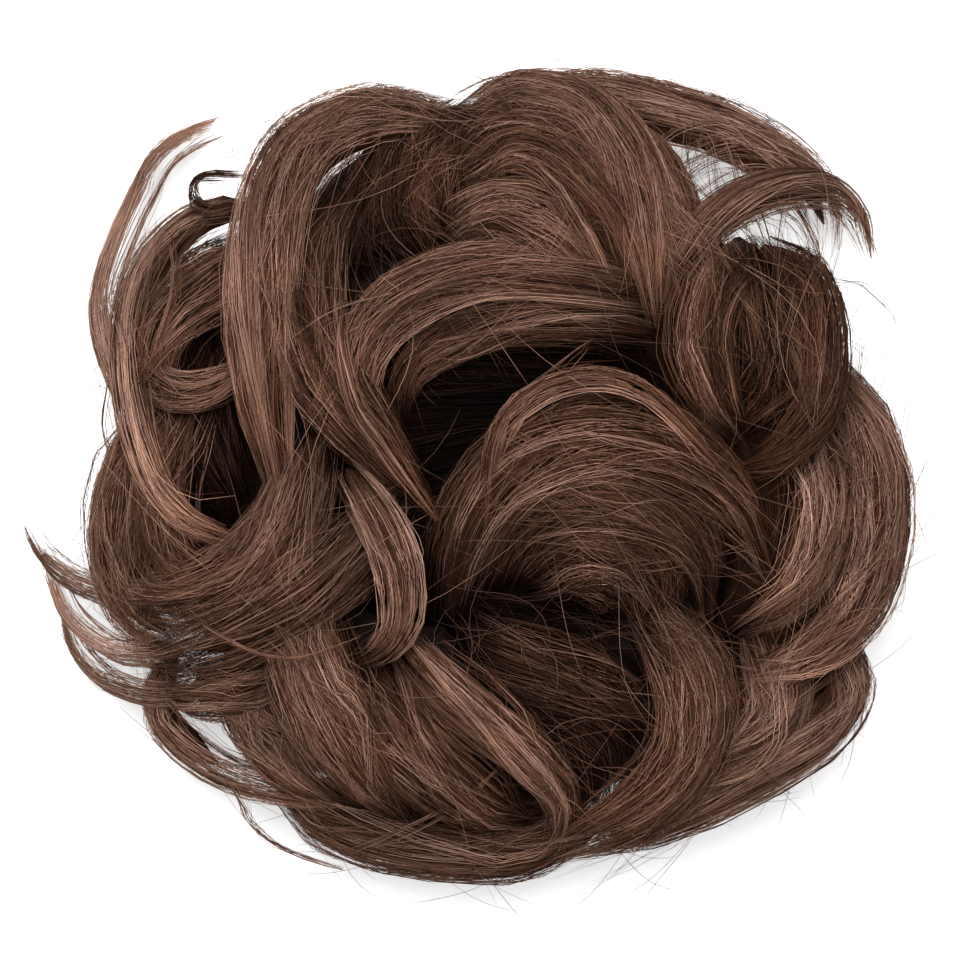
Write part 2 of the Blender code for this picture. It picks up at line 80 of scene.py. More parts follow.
LOCKS = (
    # name, width, thickness, (root, middle, tip) layers, dense share of its length, route
    ("left_top_sweep", 0.19, 0.15, (0.80, 0.92, 0.86), 0.92,
     ((-0.08, 0.87), (-0.28, 0.875), (-0.46, 0.79), (-0.54, 0.63), (-0.565, 0.40), (-0.55, 0.16),
      (-0.52, -0.04))),
    ("inner_left_fall", 0.17, 0.14, (0.70, 0.86, 0.84), 0.92,
     ((-0.34, 0.72), (-0.42, 0.56), (-0.44, 0.38), (-0.39, 0.22), (-0.28, 0.08), (-0.17, -0.06))),
    ("crown_fold", 0.17, 0.13, (0.72, 0.80, 0.66), 0.9,
     ((-0.05, 0.90), (-0.15, 0.77), (-0.18, 0.63), (-0.15, 0.50))),
    ("crown_shadow", 0.15, 0.12, (0.62, 0.66, 0.62), 0.9,
     ((-0.20, 0.86), (-0.28, 0.73), (-0.31, 0.58), (-0.28, 0.42))),
    ("central_arc_upper", 0.13, 0.12, (0.78, 0.90, 0.84), 0.9,
     ((0.42, 0.42), (0.22, 0.46), (0.00, 0.49), (-0.18, 0.45), (-0.30, 0.36), (-0.34, 0.22),
      (-0.29, 0.08))),
    ("central_arc_lower", 0.11, 0.11, (0.72, 0.82, 0.76), 0.9,
     ((0.42, 0.35), (0.22, 0.38), (0.02, 0.37), (-0.13, 0.31), (-0.22, 0.23), (-0.24, 0.10))),
    ("top_centre_sweep", 0.20, 0.14, (0.78, 0.96, 0.86), 0.9,
     ((-0.08, 0.86), (0.05, 0.90), (0.21, 0.86), (0.31, 0.74), (0.36, 0.58), (0.38, 0.42))),
    ("crown_inner", 0.18, 0.14, (0.78, 0.92, 0.84), 0.9,
     ((-0.12, 0.73), (0.03, 0.79), (0.17, 0.74), (0.27, 0.60), (0.32, 0.44))),
    ("crown_low", 0.17, 0.14, (0.72, 0.86, 0.82), 0.9,
     ((-0.14, 0.56), (0.00, 0.62), (0.14, 0.58), (0.26, 0.48))),
    ("top_right_outline", 0.15, 0.14, (0.78, 0.74, 0.72), 0.85,
     ((0.00, 0.89), (0.12, 0.915), (0.26, 0.91), (0.42, 0.875), (0.54, 0.845), (0.65, 0.785),
      (0.75, 0.71), (0.80, 0.60), (0.79, 0.46))),
    ("top_right_inner", 0.17, 0.13, (0.80, 0.86, 0.82), 0.9,
     ((0.18, 0.86), (0.32, 0.79), (0.40, 0.68), (0.43, 0.54), (0.42, 0.42))),
    ("right_arch", 0.09, 0.09, (0.86, 0.98, 0.80), 0.75,
     ((0.42, 0.49), (0.50, 0.60), (0.60, 0.67), (0.71, 0.70), (0.80, 0.69), (0.87, 0.63),
      (0.905, 0.53))),
    ("right_fall_inner", 0.13, 0.12, (0.86, 0.92, 0.78), 0.9,
     ((0.62, 0.56), (0.54, 0.50), (0.50, 0.41), (0.49, 0.30), (0.53, 0.18), (0.60, 0.09))),
    ("right_fall_middle", 0.20, 0.13, (0.76, 0.80, 0.70), 0.9,
     ((0.58, 0.58), (0.63, 0.44), (0.66, 0.30), (0.65, 0.17), (0.59, 0.06))),
    ("right_fall_outer", 0.14, 0.13, (0.84, 0.94, 0.78), 0.9,
     ((0.64, 0.56), (0.725, 0.49), (0.765, 0.39), (0.775, 0.27), (0.75, 0.15), (0.66, 0.05),
      (0.55, 0.01))),
    ("right_broad", 0.20, 0.17, (0.74, 0.80, 0.80), 0.92,
     ((0.79, 0.30), (0.86, 0.14), (0.90, -0.02), (0.89, -0.19), (0.83, -0.33), (0.71, -0.44),
      (0.55, -0.49))),
    ("right_broad_inner", 0.18, 0.14, (0.66, 0.76, 0.72), 0.9,
     ((0.72, 0.16), (0.77, 0.00), (0.75, -0.15), (0.68, -0.28), (0.57, -0.37))),
    ("big_curl_outer", 0.17, 0.14, (0.74, 0.94, 0.80), 0.9,
     ((-0.12, -0.34), (-0.08, -0.16), (-0.01, -0.02), (0.09, 0.06), (0.22, 0.10), (0.36, 0.08),
      (0.48, 0.02), (0.58, -0.08), (0.64, -0.20))),
    ("big_curl_inner", 0.17, 0.14, (0.72, 0.90, 0.80), 0.9,
     ((-0.02, -0.28), (0.04, -0.13), (0.14, -0.06), (0.27, -0.05), (0.40, -0.10), (0.48, -0.20),
      (0.50, -0.30))),
    ("big_curl_heart", 0.18, 0.13, (0.74, 0.86, 0.76), 0.9,
     ((0.06, -0.26), (0.16, -0.18), (0.28, -0.18), (0.36, -0.26), (0.34, -0.36))),
    ("curl_highlight", 0.05, 0.05, (0.84, 0.98, 0.88), 0.6,
     ((-0.03, -0.14), (-0.02, 0.02), (0.01, 0.13), (0.10, 0.21), (0.22, 0.24), (0.34, 0.21),
      (0.44, 0.13), (0.54, 0.02))),
    ("bottom_inner_sweep", 0.20, 0.14, (0.54, 0.58, 0.60), 0.92,
     ((-0.44, -0.74), (-0.27, -0.79), (-0.08, -0.81), (0.10, -0.80), (0.25, -0.72))),
    ("c_curl", 0.18, 0.15, (0.80, 0.94, 0.80), 0.9,
     ((0.36, -0.30), (0.44, -0.41), (0.47, -0.54), (0.44, -0.67), (0.35, -0.77), (0.22, -0.85),
      (0.10, -0.92))),
    ("lower_right_outline", 0.18, 0.15, (0.72, 0.74, 0.72), 0.9,
     ((0.81, -0.35), (0.84, -0.49), (0.775, -0.60), (0.655, -0.68), (0.515, -0.755),
      (0.36, -0.835), (0.18, -0.90))),
    ("lower_right_inner", 0.24, 0.15, (0.70, 0.76, 0.72), 0.92,
     ((0.64, -0.37), (0.66, -0.51), (0.60, -0.62), (0.49, -0.70), (0.35, -0.77))),
    ("hook_left", 0.09, 0.09, (0.84, 0.94, 0.80), 0.8,
     ((-0.36, 0.02), (-0.27, -0.10), (-0.225, -0.22), (-0.235, -0.345), (-0.29, -0.42),
      (-0.36, -0.45))),
    ("lower_left_fall", 0.21, 0.16, (0.76, 0.90, 0.76), 0.9,
     ((-0.47, -0.26), (-0.44, -0.42), (-0.38, -0.57), (-0.30, -0.70), (-0.22, -0.82))),
    ("lower_left_edge", 0.20, 0.14, (0.66, 0.72, 0.70), 0.9,
     ((-0.62, -0.42), (-0.58, -0.56), (-0.50, -0.68), (-0.40, -0.78))),
    ("lower_middle_fall", 0.18, 0.14, (0.72, 0.86, 0.74), 0.9,
     ((-0.32, -0.42), (-0.25, -0.56), (-0.15, -0.68), (-0.04, -0.77), (0.08, -0.83))),
    ("bottom_sweep", 0.19, 0.15, (0.60, 0.66, 0.74), 0.9,
     ((-0.54, -0.74), (-0.41, -0.82), (-0.24, -0.87), (-0.06, -0.89), (0.08, -0.885),
      (0.20, -0.825), (0.31, -0.73))),
    ("small_diagonal", 0.10, 0.09, (0.80, 0.92, 0.84), 0.8,
     ((-0.24, -0.38), (-0.14, -0.47), (-0.02, -0.57), (0.09, -0.67), (0.16, -0.77),
      (0.15, -0.88))),
    ("lower_centre", 0.17, 0.13, (0.64, 0.76, 0.68), 0.9,
     ((-0.12, -0.36), (0.04, -0.42), (0.18, -0.47), (0.30, -0.55), (0.35, -0.66))),
    ("lower_heart", 0.18, 0.13, (0.62, 0.70, 0.68), 0.9,
     ((-0.08, -0.52), (0.06, -0.56), (0.18, -0.62), (0.22, -0.74), (0.14, -0.84))),
    ("bottom_left_strand", 0.09, 0.08, (0.62, 0.56, 0.66), 0.5,
     ((-0.78, -0.42), (-0.82, -0.51), (-0.81, -0.58), (-0.76, -0.64), (-0.675, -0.70),
      (-0.585, -0.735), (-0.47, -0.765), (-0.34, -0.79))),
    ("left_bulge", 0.17, 0.15, (0.66, 0.74, 0.70), 0.9,
     ((-0.81, 0.18), (-0.875, 0.05), (-0.91, -0.08), (-0.91, -0.21), (-0.86, -0.33),
      (-0.74, -0.42))),
    ("left_bulge_inner", 0.23, 0.14, (0.62, 0.72, 0.70), 0.92,
     ((-0.72, 0.24), (-0.79, 0.08), (-0.81, -0.08), (-0.76, -0.23), (-0.62, -0.34))),
    ("left_wisp_upper", 0.17, 0.13, (0.80, 0.84, 0.72), 0.8,
     ((-0.44, 0.10), (-0.48, -0.08), (-0.57, -0.21), (-0.70, -0.28), (-0.83, -0.30),
      (-0.93, -0.285))),
    ("left_wisp_middle", 0.17, 0.13, (0.78, 0.84, 0.70), 0.8,
     ((-0.24, -0.04), (-0.34, -0.18), (-0.48, -0.30), (-0.64, -0.38), (-0.80, -0.42),
      (-0.90, -0.41))),
    ("left_wisp_lower", 0.15, 0.13, (0.68, 0.76, 0.66), 0.8,
     ((-0.46, -0.44), (-0.59, -0.49), (-0.72, -0.515), (-0.83, -0.505))),
    ("left_tip_upper", 0.055, 0.05, (0.72, 0.68, 0.62), 0.3,
     ((-0.76, -0.285), (-0.88, -0.285), (-0.977, -0.262), (-1.06, -0.22), (-1.115, -0.16),
      (-1.139, -0.107))),
    ("left_tip_middle", 0.055, 0.05, (0.70, 0.66, 0.60), 0.3,
     ((-0.76, -0.42), (-0.86, -0.42), (-0.92, -0.41), (-0.985, -0.373), (-1.035, -0.325),
      (-1.067, -0.262), (-1.083, -0.225))),
    ("left_tip_lower", 0.055, 0.05, (0.66, 0.64, 0.60), 0.3,
     ((-0.70, -0.515), (-0.82, -0.525), (-0.93, -0.495), (-0.99, -0.45), (-1.03, -0.385),
      (-1.05, -0.31))),
    ("left_hoop", 0.09, 0.09, (0.78, 0.84, 0.84), 0.6,
     ((-0.56, 0.64), (-0.67, 0.645), (-0.77, 0.59), (-0.85, 0.49), (-0.885, 0.37), (-0.885, 0.24),
      (-0.86, 0.10), (-0.81, -0.03), (-0.72, -0.12), (-0.60, -0.16))),
    ("left_outer_wisp", 0.075, 0.06, (0.70, 0.80, 0.80), 0.3,
     ((-0.85, 0.12), (-0.89, 0.20), (-0.93, 0.30), (-0.95, 0.405), (-0.935, 0.50), (-0.90, 0.60),
      (-0.86, 0.69), (-0.815, 0.77), (-0.75, 0.82), (-0.675, 0.848))),
    ("left_crescent", 0.09, 0.08, (0.66, 0.80, 0.76), 0.7,
     ((-0.86, 0.36), (-0.86, 0.27), (-0.79, 0.22), (-0.71, 0.21), (-0.63, 0.24), (-0.57, 0.31))),
    ("left_upper_fill", 0.22, 0.13, (0.64, 0.74, 0.70), 0.92,
     ((-0.54, 0.56), (-0.66, 0.48), (-0.77, 0.38), (-0.82, 0.26), (-0.80, 0.14))),
    ("left_dark_fill", 0.23, 0.13, (0.56, 0.62, 0.62), 0.92,
     ((-0.58, 0.42), (-0.68, 0.30), (-0.70, 0.16), (-0.66, 0.01), (-0.60, -0.13))),
)

CROSSING_LOCKS = (
    # name, width, thickness, rise over the hollow's roof, route
    ("crossing_back", 0.20, 0.13, 0.067,
     ((-0.52, 0.22), (-0.26, 0.27), (0.02, 0.28), (0.30, 0.25), (0.54, 0.20))),
    ("crossing_middle", 0.22, 0.13, 0.051,
     ((-0.54, 0.00), (-0.27, 0.08), (0.01, 0.12), (0.29, 0.09), (0.56, 0.02))),
    ("crossing_front", 0.24, 0.14, 0.059,
     ((-0.50, -0.22), (-0.25, -0.14), (0.01, -0.10), (0.27, -0.14), (0.50, -0.24))),
)

FILLING_LOCKS = (
    # name, width, thickness, rise over the hollow's roof, route
    ("filling_centre", 0.17, 0.10, 0.035,
     ((-0.44, -0.26), (-0.16, -0.27), (0.10, -0.29), (0.34, -0.34), (0.52, -0.44))),
    ("filling_right", 0.18, 0.12, 0.055,
     ((0.56, 0.18), (0.63, 0.04), (0.65, -0.12), (0.60, -0.28), (0.50, -0.42))),
    ("filling_low_right", 0.15, 0.10, 0.020,
     ((0.54, -0.28), (0.66, -0.34), (0.75, -0.42), (0.76, -0.52), (0.70, -0.60))),
    ("filling_fall", 0.16, 0.12, 0.060,
     ((0.36, 0.44), (0.42, 0.30), (0.47, 0.16), (0.54, 0.02))),
)

UNDER_LOCKS = 12
UNDER_WIDTH = 0.24
UNDER_THICKNESS = 0.17
UNDER_REACH_CHANGE = 0.04
UNDER_REACH_WAVES = 3
UNDER_ROUTE = (
    # radius, turn in degrees, height as a share of BUN_HEIGHT
    (0.45, 0, 0.10),
    (0.58, 10, 0.10),
    (0.69, 24, 0.14),
    (0.745, 43, 0.25),
    (0.71, 61, 0.38),
)

FULLNESS = (
    # share of the length, share of the width
    (0.00, 0.60),
    (0.15, 0.90),
    (0.35, 1.00),
    (0.65, 0.95),
    (0.85, 0.66),
    (1.00, 0.24),
)

WISP_FULLNESS = (
    # share of the length, share of the width
    (0.00, 0.70),
    (0.30, 1.00),
    (0.75, 1.00),
    (1.00, 0.80),
)
FANNED = ("left_outer", "left_tip", "wisp_bottom_left", "wisp_arch")

band_low, band_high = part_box("elastic_band")
CENTRE = np.array([(band_low.x + band_high.x) / 2, (band_low.y + band_high.y) / 2, 0.0])


def smooth_curve(points, stations):
    """Evenly spaced places on a smooth curve through the points, as rows."""
    points = np.asarray(points, float)
    ends = np.vstack([2 * points[0] - points[1], points, 2 * points[-1] - points[-2]])
    t = np.linspace(0, 1, CURVE_STEPS, endpoint=False)[:, None]
    spans = []
    for p, q, r, s in zip(ends, ends[1:], ends[2:], ends[3:]):
        spans.append(0.5 * (2 * q + (r - p) * t + (2 * p - 5 * q + 4 * r - s) * t ** 2
                            + (3 * q - p - 3 * r + s) * t ** 3))
    fine = np.vstack([*spans, points[-1:]])
    reached = np.append(0, np.cumsum(np.linalg.norm(np.diff(fine, axis=0), axis=1)))
    wanted = np.linspace(0, reached[-1], stations)
    return np.stack([np.interp(wanted, reached, column) for column in fine.T], axis=1)


def curl_on(plan, steps):
    """The plan route with more places at its tip, which keep the bend it ends with."""
    heading = np.arctan2(*np.diff(plan, axis=0)[:, 1::-1].T)
    bend = np.unwrap(heading)[-CURL_READ:]
    turn = (bend[-1] - bend[0]) / (CURL_READ - 1)
    length = np.linalg.norm(plan[-1] - plan[-2])
    angles = bend[-1] + turn * np.arange(1, steps + 1)
    more = plan[-1] + np.cumsum(length * np.stack([np.cos(angles), np.sin(angles)], axis=1), axis=0)
    return np.vstack([plan, more])


def dome_height(x, y):
    """How high the bun stands over a spot, before its layers."""
    outside = np.minimum(np.hypot(x, y) / (DOME_REACH * BUN_RADIUS), DOME_RIM)
    return BUN_HEIGHT * np.sqrt(1 - outside ** 2)


def unit(rows):
    return rows / np.maximum(np.linalg.norm(rows, axis=-1, keepdims=True), 1e-12)


def make_guide(name, places, width, thickness, dense):
    """A lock's middle line with its cross directions and half sizes, by its share of length.

    Its turning is in degrees, and its pace puts more places where it bends more.
    """
    share = np.arange(len(places)) / (GUIDE_STATIONS - 1)
    along = unit(np.gradient(places, axis=0))
    reach = DOME_REACH * BUN_RADIUS
    dome = unit(places / np.array([reach ** 2, reach ** 2, BUN_HEIGHT ** 2]))
    across = unit(np.cross(along, dome))
    outwards = np.cross(across, along)
    table = WISP_FULLNESS if name.startswith(FANNED) else FULLNESS
    fullness = np.interp(share, *np.array(table).T)
    length = np.linalg.norm(np.diff(places[:GUIDE_STATIONS], axis=0), axis=1).sum()
    inside = along[:GUIDE_STATIONS]
    bend = np.degrees(np.arccos(np.clip((inside[1:] * inside[:-1]).sum(axis=1), -1, 1)))
    bent = (bend + LEAST_BEND) / (bend + LEAST_BEND).sum()
    pace = np.append(0, np.cumsum(EVEN_PACE / (GUIDE_STATIONS - 1) + (1 - EVEN_PACE) * bent))
    return {"name": name, "places": places + CENTRE, "across": across, "outwards": outwards,
            "share": share, "pace": pace / pace[-1], "turning": bend.sum(), "length": length,
            "width": width, "half_width": fullness * width / 2,
            "half_thickness": fullness * thickness / 2, "dense": dense}


def shown_guide(name, width, thickness, layers, dense, route):
    """The guide of a lock that shows from above, at its layers' shares of the dome's height."""
    plan = curl_on(smooth_curve(np.array(route) * BUN_RADIUS, GUIDE_STATIONS), CURL_ON)
    share = np.arange(len(plan)) / (GUIDE_STATIONS - 1)
    layer = np.interp(share, (0, 0.5, 1), layers)
    lift = layer * dome_height(*plan.T) - thickness * BUN_RADIUS / 2
    return make_guide(name, np.column_stack([plan, lift]), width * BUN_RADIUS,
                      thickness * BUN_RADIUS, dense)


def crossing_guide(name, width, thickness, rise, route):
    """The guide of a lock that lies low over the hollow's roof."""
    plan = smooth_curve(np.array(route) * BUN_RADIUS, GUIDE_STATIONS)
    crest = HOLLOW_HEIGHT + rise * BUN_RADIUS
    lift = crest * dome_height(*plan.T) / BUN_HEIGHT
    return make_guide(name, np.column_stack([plan, lift]), width * BUN_RADIUS,
                      thickness * BUN_RADIUS, 1.0)


def under_guide(number):
    """The guide of one lock of the plain row that closes the underside."""
    start = 2 * pi * number / UNDER_LOCKS
    reach = 1 + UNDER_REACH_CHANGE * sin(UNDER_REACH_WAVES * start)
    radius, turn, height = np.array(UNDER_ROUTE).T
    angle = start - np.radians(turn)
    points = np.column_stack([radius * reach * BUN_RADIUS * np.cos(angle),
                              radius * reach * BUN_RADIUS * np.sin(angle), height * BUN_HEIGHT])
    return make_guide(f"under_lock_{number}", smooth_curve(points, GUIDE_STATIONS),
                      UNDER_WIDTH * BUN_RADIUS, UNDER_THICKNESS * BUN_RADIUS, 1.0)


shown_guides = [shown_guide(*row) for row in LOCKS]
crossing_guides = [crossing_guide(*row) for row in CROSSING_LOCKS]
filling_guides = [crossing_guide(*row) for row in FILLING_LOCKS]
under_guides = [under_guide(number) for number in range(UNDER_LOCKS)]


def read_guide(guide, key, share):
    """A guide's column at any shares of its length."""
    column = guide[key]
    if column.ndim == 1:
        return np.interp(share, guide["share"], column)
    return np.stack([np.interp(share, guide["share"], part) for part in column.T], axis=-1)


# Painted shade: fibres get little light down between the locks, so each keeps less of its colour
# the lower it lies among its surroundings and the deeper under the dome, and crests that stand
# over their surroundings get a painted highlight. The pairs are places, as shares, and what is kept
# there.

SHADE_GRID = 0.0015
SHADE_REACH = 0.105
SHADE_SURROUNDINGS = 0.0085
SHADE_CELLS = 18
SHADE_POWER = 4
SHADE_DEPTH = 0.012
SHADE_RIM = ((0.66, 0.90), (1.0, 0.30))
# Painted highlight up to 1.2 where a fibre stands above its surroundings, painted shade below them
SHADE_BETWEEN = ((-0.35, 0.0, 0.9), (1.2, 1.0, 0.30))
SHADE_UNDER_DOME = ((0.12, 0.42), (1.0, 0.25))


def local_tops():
    """A grid of how high the locks stand round each spot."""
    line = np.arange(-SHADE_REACH, SHADE_REACH, SHADE_GRID)
    x, y = np.meshgrid(line, line, indexing="ij")
    tops = np.zeros(x.shape)
    for guide in shown_guides + crossing_guides:
        middle = guide["places"][:GUIDE_STATIONS]
        for place, reach, rise in zip(middle, guide["half_width"], guide["half_thickness"]):
            covered = np.hypot(x + CENTRE[0] - place[0], y + CENTRE[1] - place[1]) < reach
            tops[covered] = np.maximum(tops[covered], place[2] + rise)
    cells = np.arange(-SHADE_CELLS, SHADE_CELLS + 1)
    weights = np.exp(-0.5 * (cells * SHADE_GRID / SHADE_SURROUNDINGS) ** 2)
    evened = []
    for layer in (tops ** SHADE_POWER, (tops > 0).astype(float)):
        for axis in (0, 1):
            layer = np.apply_along_axis(np.convolve, axis, layer, weights, "same")
        evened.append(layer)
    return (evened[0] / np.maximum(evened[1], 1e-6)) ** (1 / SHADE_POWER)


surrounding_tops = local_tops()


def painted_light_and_shade(places):
    """Painted light and shade at each place: a factor on a fibre's colour, lower deep among the locks and
    under the dome, above 1 on crests.
    """
    inside = places - CENTRE
    cell = ((inside[:, :2] + SHADE_REACH) / SHADE_GRID).round().astype(int)
    cell = np.clip(cell, 0, len(surrounding_tops) - 1)
    between = (surrounding_tops[cell[:, 0], cell[:, 1]] - inside[:, 2]) / SHADE_DEPTH
    rim = np.interp(np.hypot(inside[:, 0], inside[:, 1]) / BUN_RADIUS, *SHADE_RIM)
    between = np.minimum(between, rim)
    reach = DOME_REACH * BUN_RADIUS
    under_dome = 1 - np.linalg.norm(inside / np.array([reach, reach, BUN_HEIGHT]), axis=1)
    return np.interp(between, *SHADE_BETWEEN) * np.interp(under_dome, *SHADE_UNDER_DOME)


# Every core and thread is a closed tube. Its side is laid out flat in a cell of its own, with
# the two ends as small ovals below and above it, all in shares of the cell.

FIBRE_MAP = "OFBake"
CELL_SLIMNESS = 2.5
SIDE_LEFT, SIDE_WIDTH = 0.06, 0.86
SIDE_LOW, SIDE_HEIGHT = 0.08, 0.84
END_MIDDLE = (0.5, 0.04)
END_RADII = (0.4, 0.03)
END_RISE = (0.0, 0.92)


def atlas_size(tube_count):
    """Columns and rows of the cells, one for each tube."""
    columns = int(np.ceil(np.sqrt(tube_count * CELL_SLIMNESS)))
    return columns, int(np.ceil(tube_count / columns))


def add_tubes(name, batches):
    """One object of many closed tubes. A batch is (rings, tones), rings being (tube, ring, side, 3)."""
    places, loops, starts, maps, tones, alongs = [], [], [], [], [], []
    columns, rows = atlas_size(sum(len(rings) for rings, _ in batches))
    cell = np.array([1 / columns, 1 / rows])
    placed, tube_number = 0, 0
    for rings, tone in batches:
        tubes, stations, sides = rings.shape[:3]
        number = tube_number + np.arange(tubes)
        corner = np.stack([number % columns, number // columns], axis=1) * cell
        first = placed + np.arange(tubes) * stations * sides
        ring = np.arange(stations - 1)
        side = np.arange(sides)
        after = (side + 1) % sides
        base = first[:, None, None] + ring[None, :, None] * sides
        quads = np.stack([base + side, base + after, base + sides + after, base + sides + side],
                         axis=-1)
        left = SIDE_LEFT + SIDE_WIDTH * side / sides
        right = SIDE_LEFT + SIDE_WIDTH * (side + 1) / sides
        low = SIDE_LOW + SIDE_HEIGHT * ring / (stations - 1)
        high = SIDE_LOW + SIDE_HEIGHT * (ring + 1) / (stations - 1)
        u = np.broadcast_to(np.stack([left, right, right, left], -1), (len(ring), sides, 4))
        v = np.broadcast_to(np.stack([low, low, high, high], -1)[:, None], (len(ring), sides, 4))
        quad_map = corner[:, None, None, None, :] + np.stack([u, v], -1)[None] * cell
        turn = 2 * pi * side / sides
        cap_shape = END_MIDDLE + END_RADII * np.stack([np.cos(turn), np.sin(turn)], -1)
        foot = first[:, None] + side[::-1]
        head = first[:, None] + (stations - 1) * sides + side
        foot_map = corner[:, None, :] + cap_shape[::-1] * cell
        head_map = corner[:, None, :] + (cap_shape + END_RISE) * cell
        for corners, spots in ((quads.reshape(-1, 4), quad_map), (foot, foot_map), (head, head_map)):
            begun = sum(len(part) for part in loops)
            loops.append(corners.reshape(-1))
            starts.append(begun + np.arange(len(corners)) * corners.shape[1])
            maps.append(spots.reshape(-1, 2))
        places.append(rings.reshape(-1, 3))
        tones.append(np.repeat(tone, stations * sides))
        alongs.append(np.tile(np.repeat(np.linspace(0, 1, stations), sides), tubes))
        placed += tubes * stations * sides
        tube_number += tubes
    places = np.concatenate(places)
    loops = np.concatenate(loops)
    starts = np.concatenate(starts)
    mesh = bpy.data.meshes.new(name)
    mesh.vertices.add(len(places))
    mesh.vertices.foreach_set("co", places.ravel().astype(np.float32))
    mesh.loops.add(len(loops))
    mesh.loops.foreach_set("vertex_index", loops.astype(np.int32))
    mesh.polygons.add(len(starts))
    mesh.polygons.foreach_set("loop_start", starts.astype(np.int32))
    mesh.update(calc_edges=True)
    flat = mesh.uv_layers.new(name=FIBRE_MAP)
    flat.data.foreach_set("uv", np.concatenate(maps).ravel().astype(np.float32))
    # The fibre attribute carries each place's tone, its share along the tube and its painted light and
    # shade
    kept = painted_light_and_shade(places)
    fibre = np.column_stack([np.concatenate(tones), np.concatenate(alongs), kept, np.ones_like(kept)])
    colour = mesh.color_attributes.new("fibre", "FLOAT_COLOR", "POINT")
    colour.data.foreach_set("color", fibre.ravel().astype(np.float32))
    mesh.shade_smooth()
    piece = bpy.data.objects.new(name, mesh)
    bpy.context.collection.objects.link(piece)
    return piece


def waves(rng, count, stations, slowest, fastest):
    """Smooth random curves from about -1 to 1, one a row, each of three waves."""
    along = np.linspace(0, 1, stations)
    total = np.zeros((count, stations))
    for _ in range(3):
        pace = rng.uniform(slowest, fastest, (count, 1))
        total += np.sin(2 * pi * (pace * along + rng.uniform(0, 1, (count, 1))))
    return total / 2


def core_rings(rng, guide, size):
    """The ridged oval rings of one core, with ridges that run along it as bunched fibres do."""
    reach = guide["dense"]
    stations = max(6, round(guide["length"] * reach / CORE_SPACING))
    share = np.linspace(0, reach, stations)
    steps = np.linspace(0, 1, stations)
    rounded = np.minimum(steps / CORE_ROOT + CORE_ENDS[0], (1 - steps) / CORE_TIP + CORE_ENDS[1])
    taper = np.minimum(1, rounded) ** CORE_ROUNDING
    turn = np.linspace(0, 2 * pi, CORE_SIDES, endpoint=False)
    ridges = np.zeros((stations, CORE_SIDES))
    for count in CORE_RIDGES:
        drift = waves(rng, 1, stations, *RIDGE_PACE)[0] * RIDGE_DRIFT
        ridges += np.sin(count * turn[None, :] + drift[:, None] + rng.uniform(0, 2 * pi))
    half_width = read_guide(guide, "half_width", share) * size * taper
    half_thickness = read_guide(guide, "half_thickness", share) * size * taper
    size_across = half_width[:, None] + ridges * CORE_RIDGE * taper[:, None]
    size_out = half_thickness[:, None] + ridges * CORE_RIDGE * taper[:, None]
    centre = read_guide(guide, "places", share)[:, None, :]
    across = read_guide(guide, "across", share)[:, None, :]
    outwards = read_guide(guide, "outwards", share)[:, None, :]
    rings = (centre + across * (size_across * np.cos(turn))[..., None]
             + outwards * (size_out * np.sin(turn))[..., None])
    rings[..., 2] = np.maximum(rings[..., 2], FLOOR_GAP)
    return rings[None]


def linear(code):
    """A linear colour from an sRGB hex code."""
    channels = [int(code[place:place + 2], 16) / 255 for place in (1, 3, 5)]
    return (*[c / 12.92 if c <= 0.04045 else ((c + 0.055) / 1.055) ** 2.4 for c in channels], 1.0)


def add_node(tree, kind, settings=(), links=()):
    """A new node with its settings and its inputs. A tuple of (node, output) makes a link."""
    node = tree.nodes.new(kind)
    for name, value in dict(settings).items():
        setattr(node, name, value)
    for name, value in dict(links).items():
        if isinstance(value, tuple) and isinstance(value[0], bpy.types.Node):
            tree.links.new(value[0].outputs[value[1]], node.inputs[name])
        else:
            node.inputs[name].default_value = value
    return node


def new_material(name):
    """A material with an empty tree of nodes."""
    material = bpy.data.materials.new(name)
    material.use_nodes = True
    tree = material.node_tree
    tree.nodes.clear()
    return material, tree


def finish_material(tree, shader):
    add_node(tree, "ShaderNodeOutputMaterial", links={"Surface": (shader, "BSDF")})


# Crimped synthetic fibre, extruded and dyed through, so the eye sees many thin threads of
# slightly different brown with a soft sheen. The packed fibre is painted near black where it packs
# together, as painted shade, since little light gets in between. The packed threads are drawn about
# twice as thick as they are, so that they show.

FIBRE_IOR = 1.54
PACKED_ROUGHNESS = 0.6
PACKED_GLOSS = 0.01
PACKED_RELIEF = 0.6
PACKED_RELIEF_DEPTH = 0.0004
THREADS_ROUND_CORE = 240
WAVES_ALONG_CORE = 3.0
# A lower tone darkens a core as painted shade, for locks that lie deep among the others
CORE_LOOKS = (
    # start of the lock's name, tone, share of the lock's full size
    ("crossing", 0.15, 1.1),
    ("filling", 0.4, 1.0),
    ("crown_shadow", 0.3, 1.0),
    ("crown_fold", 0.5, 1.0),
    ("left_dark", 0.3, 1.0),
    ("lower_heart", 0.3, 1.0),
    ("lower_centre", 0.3, 1.0),
    ("lower_middle", 0.6, 1.0),
    ("right_fall_middle", 0.6, 0.88),
    ("big_curl_heart", 0.8, 1.0),
    ("big_curl_inner", 0.8, 0.95),
    ("right_broad_inner", 0.7, 0.95),
    ("lower_right_inner", 0.8, 0.95),
    ("under", 0.8, 1.0),
    ("", 0.8, 0.82),
)


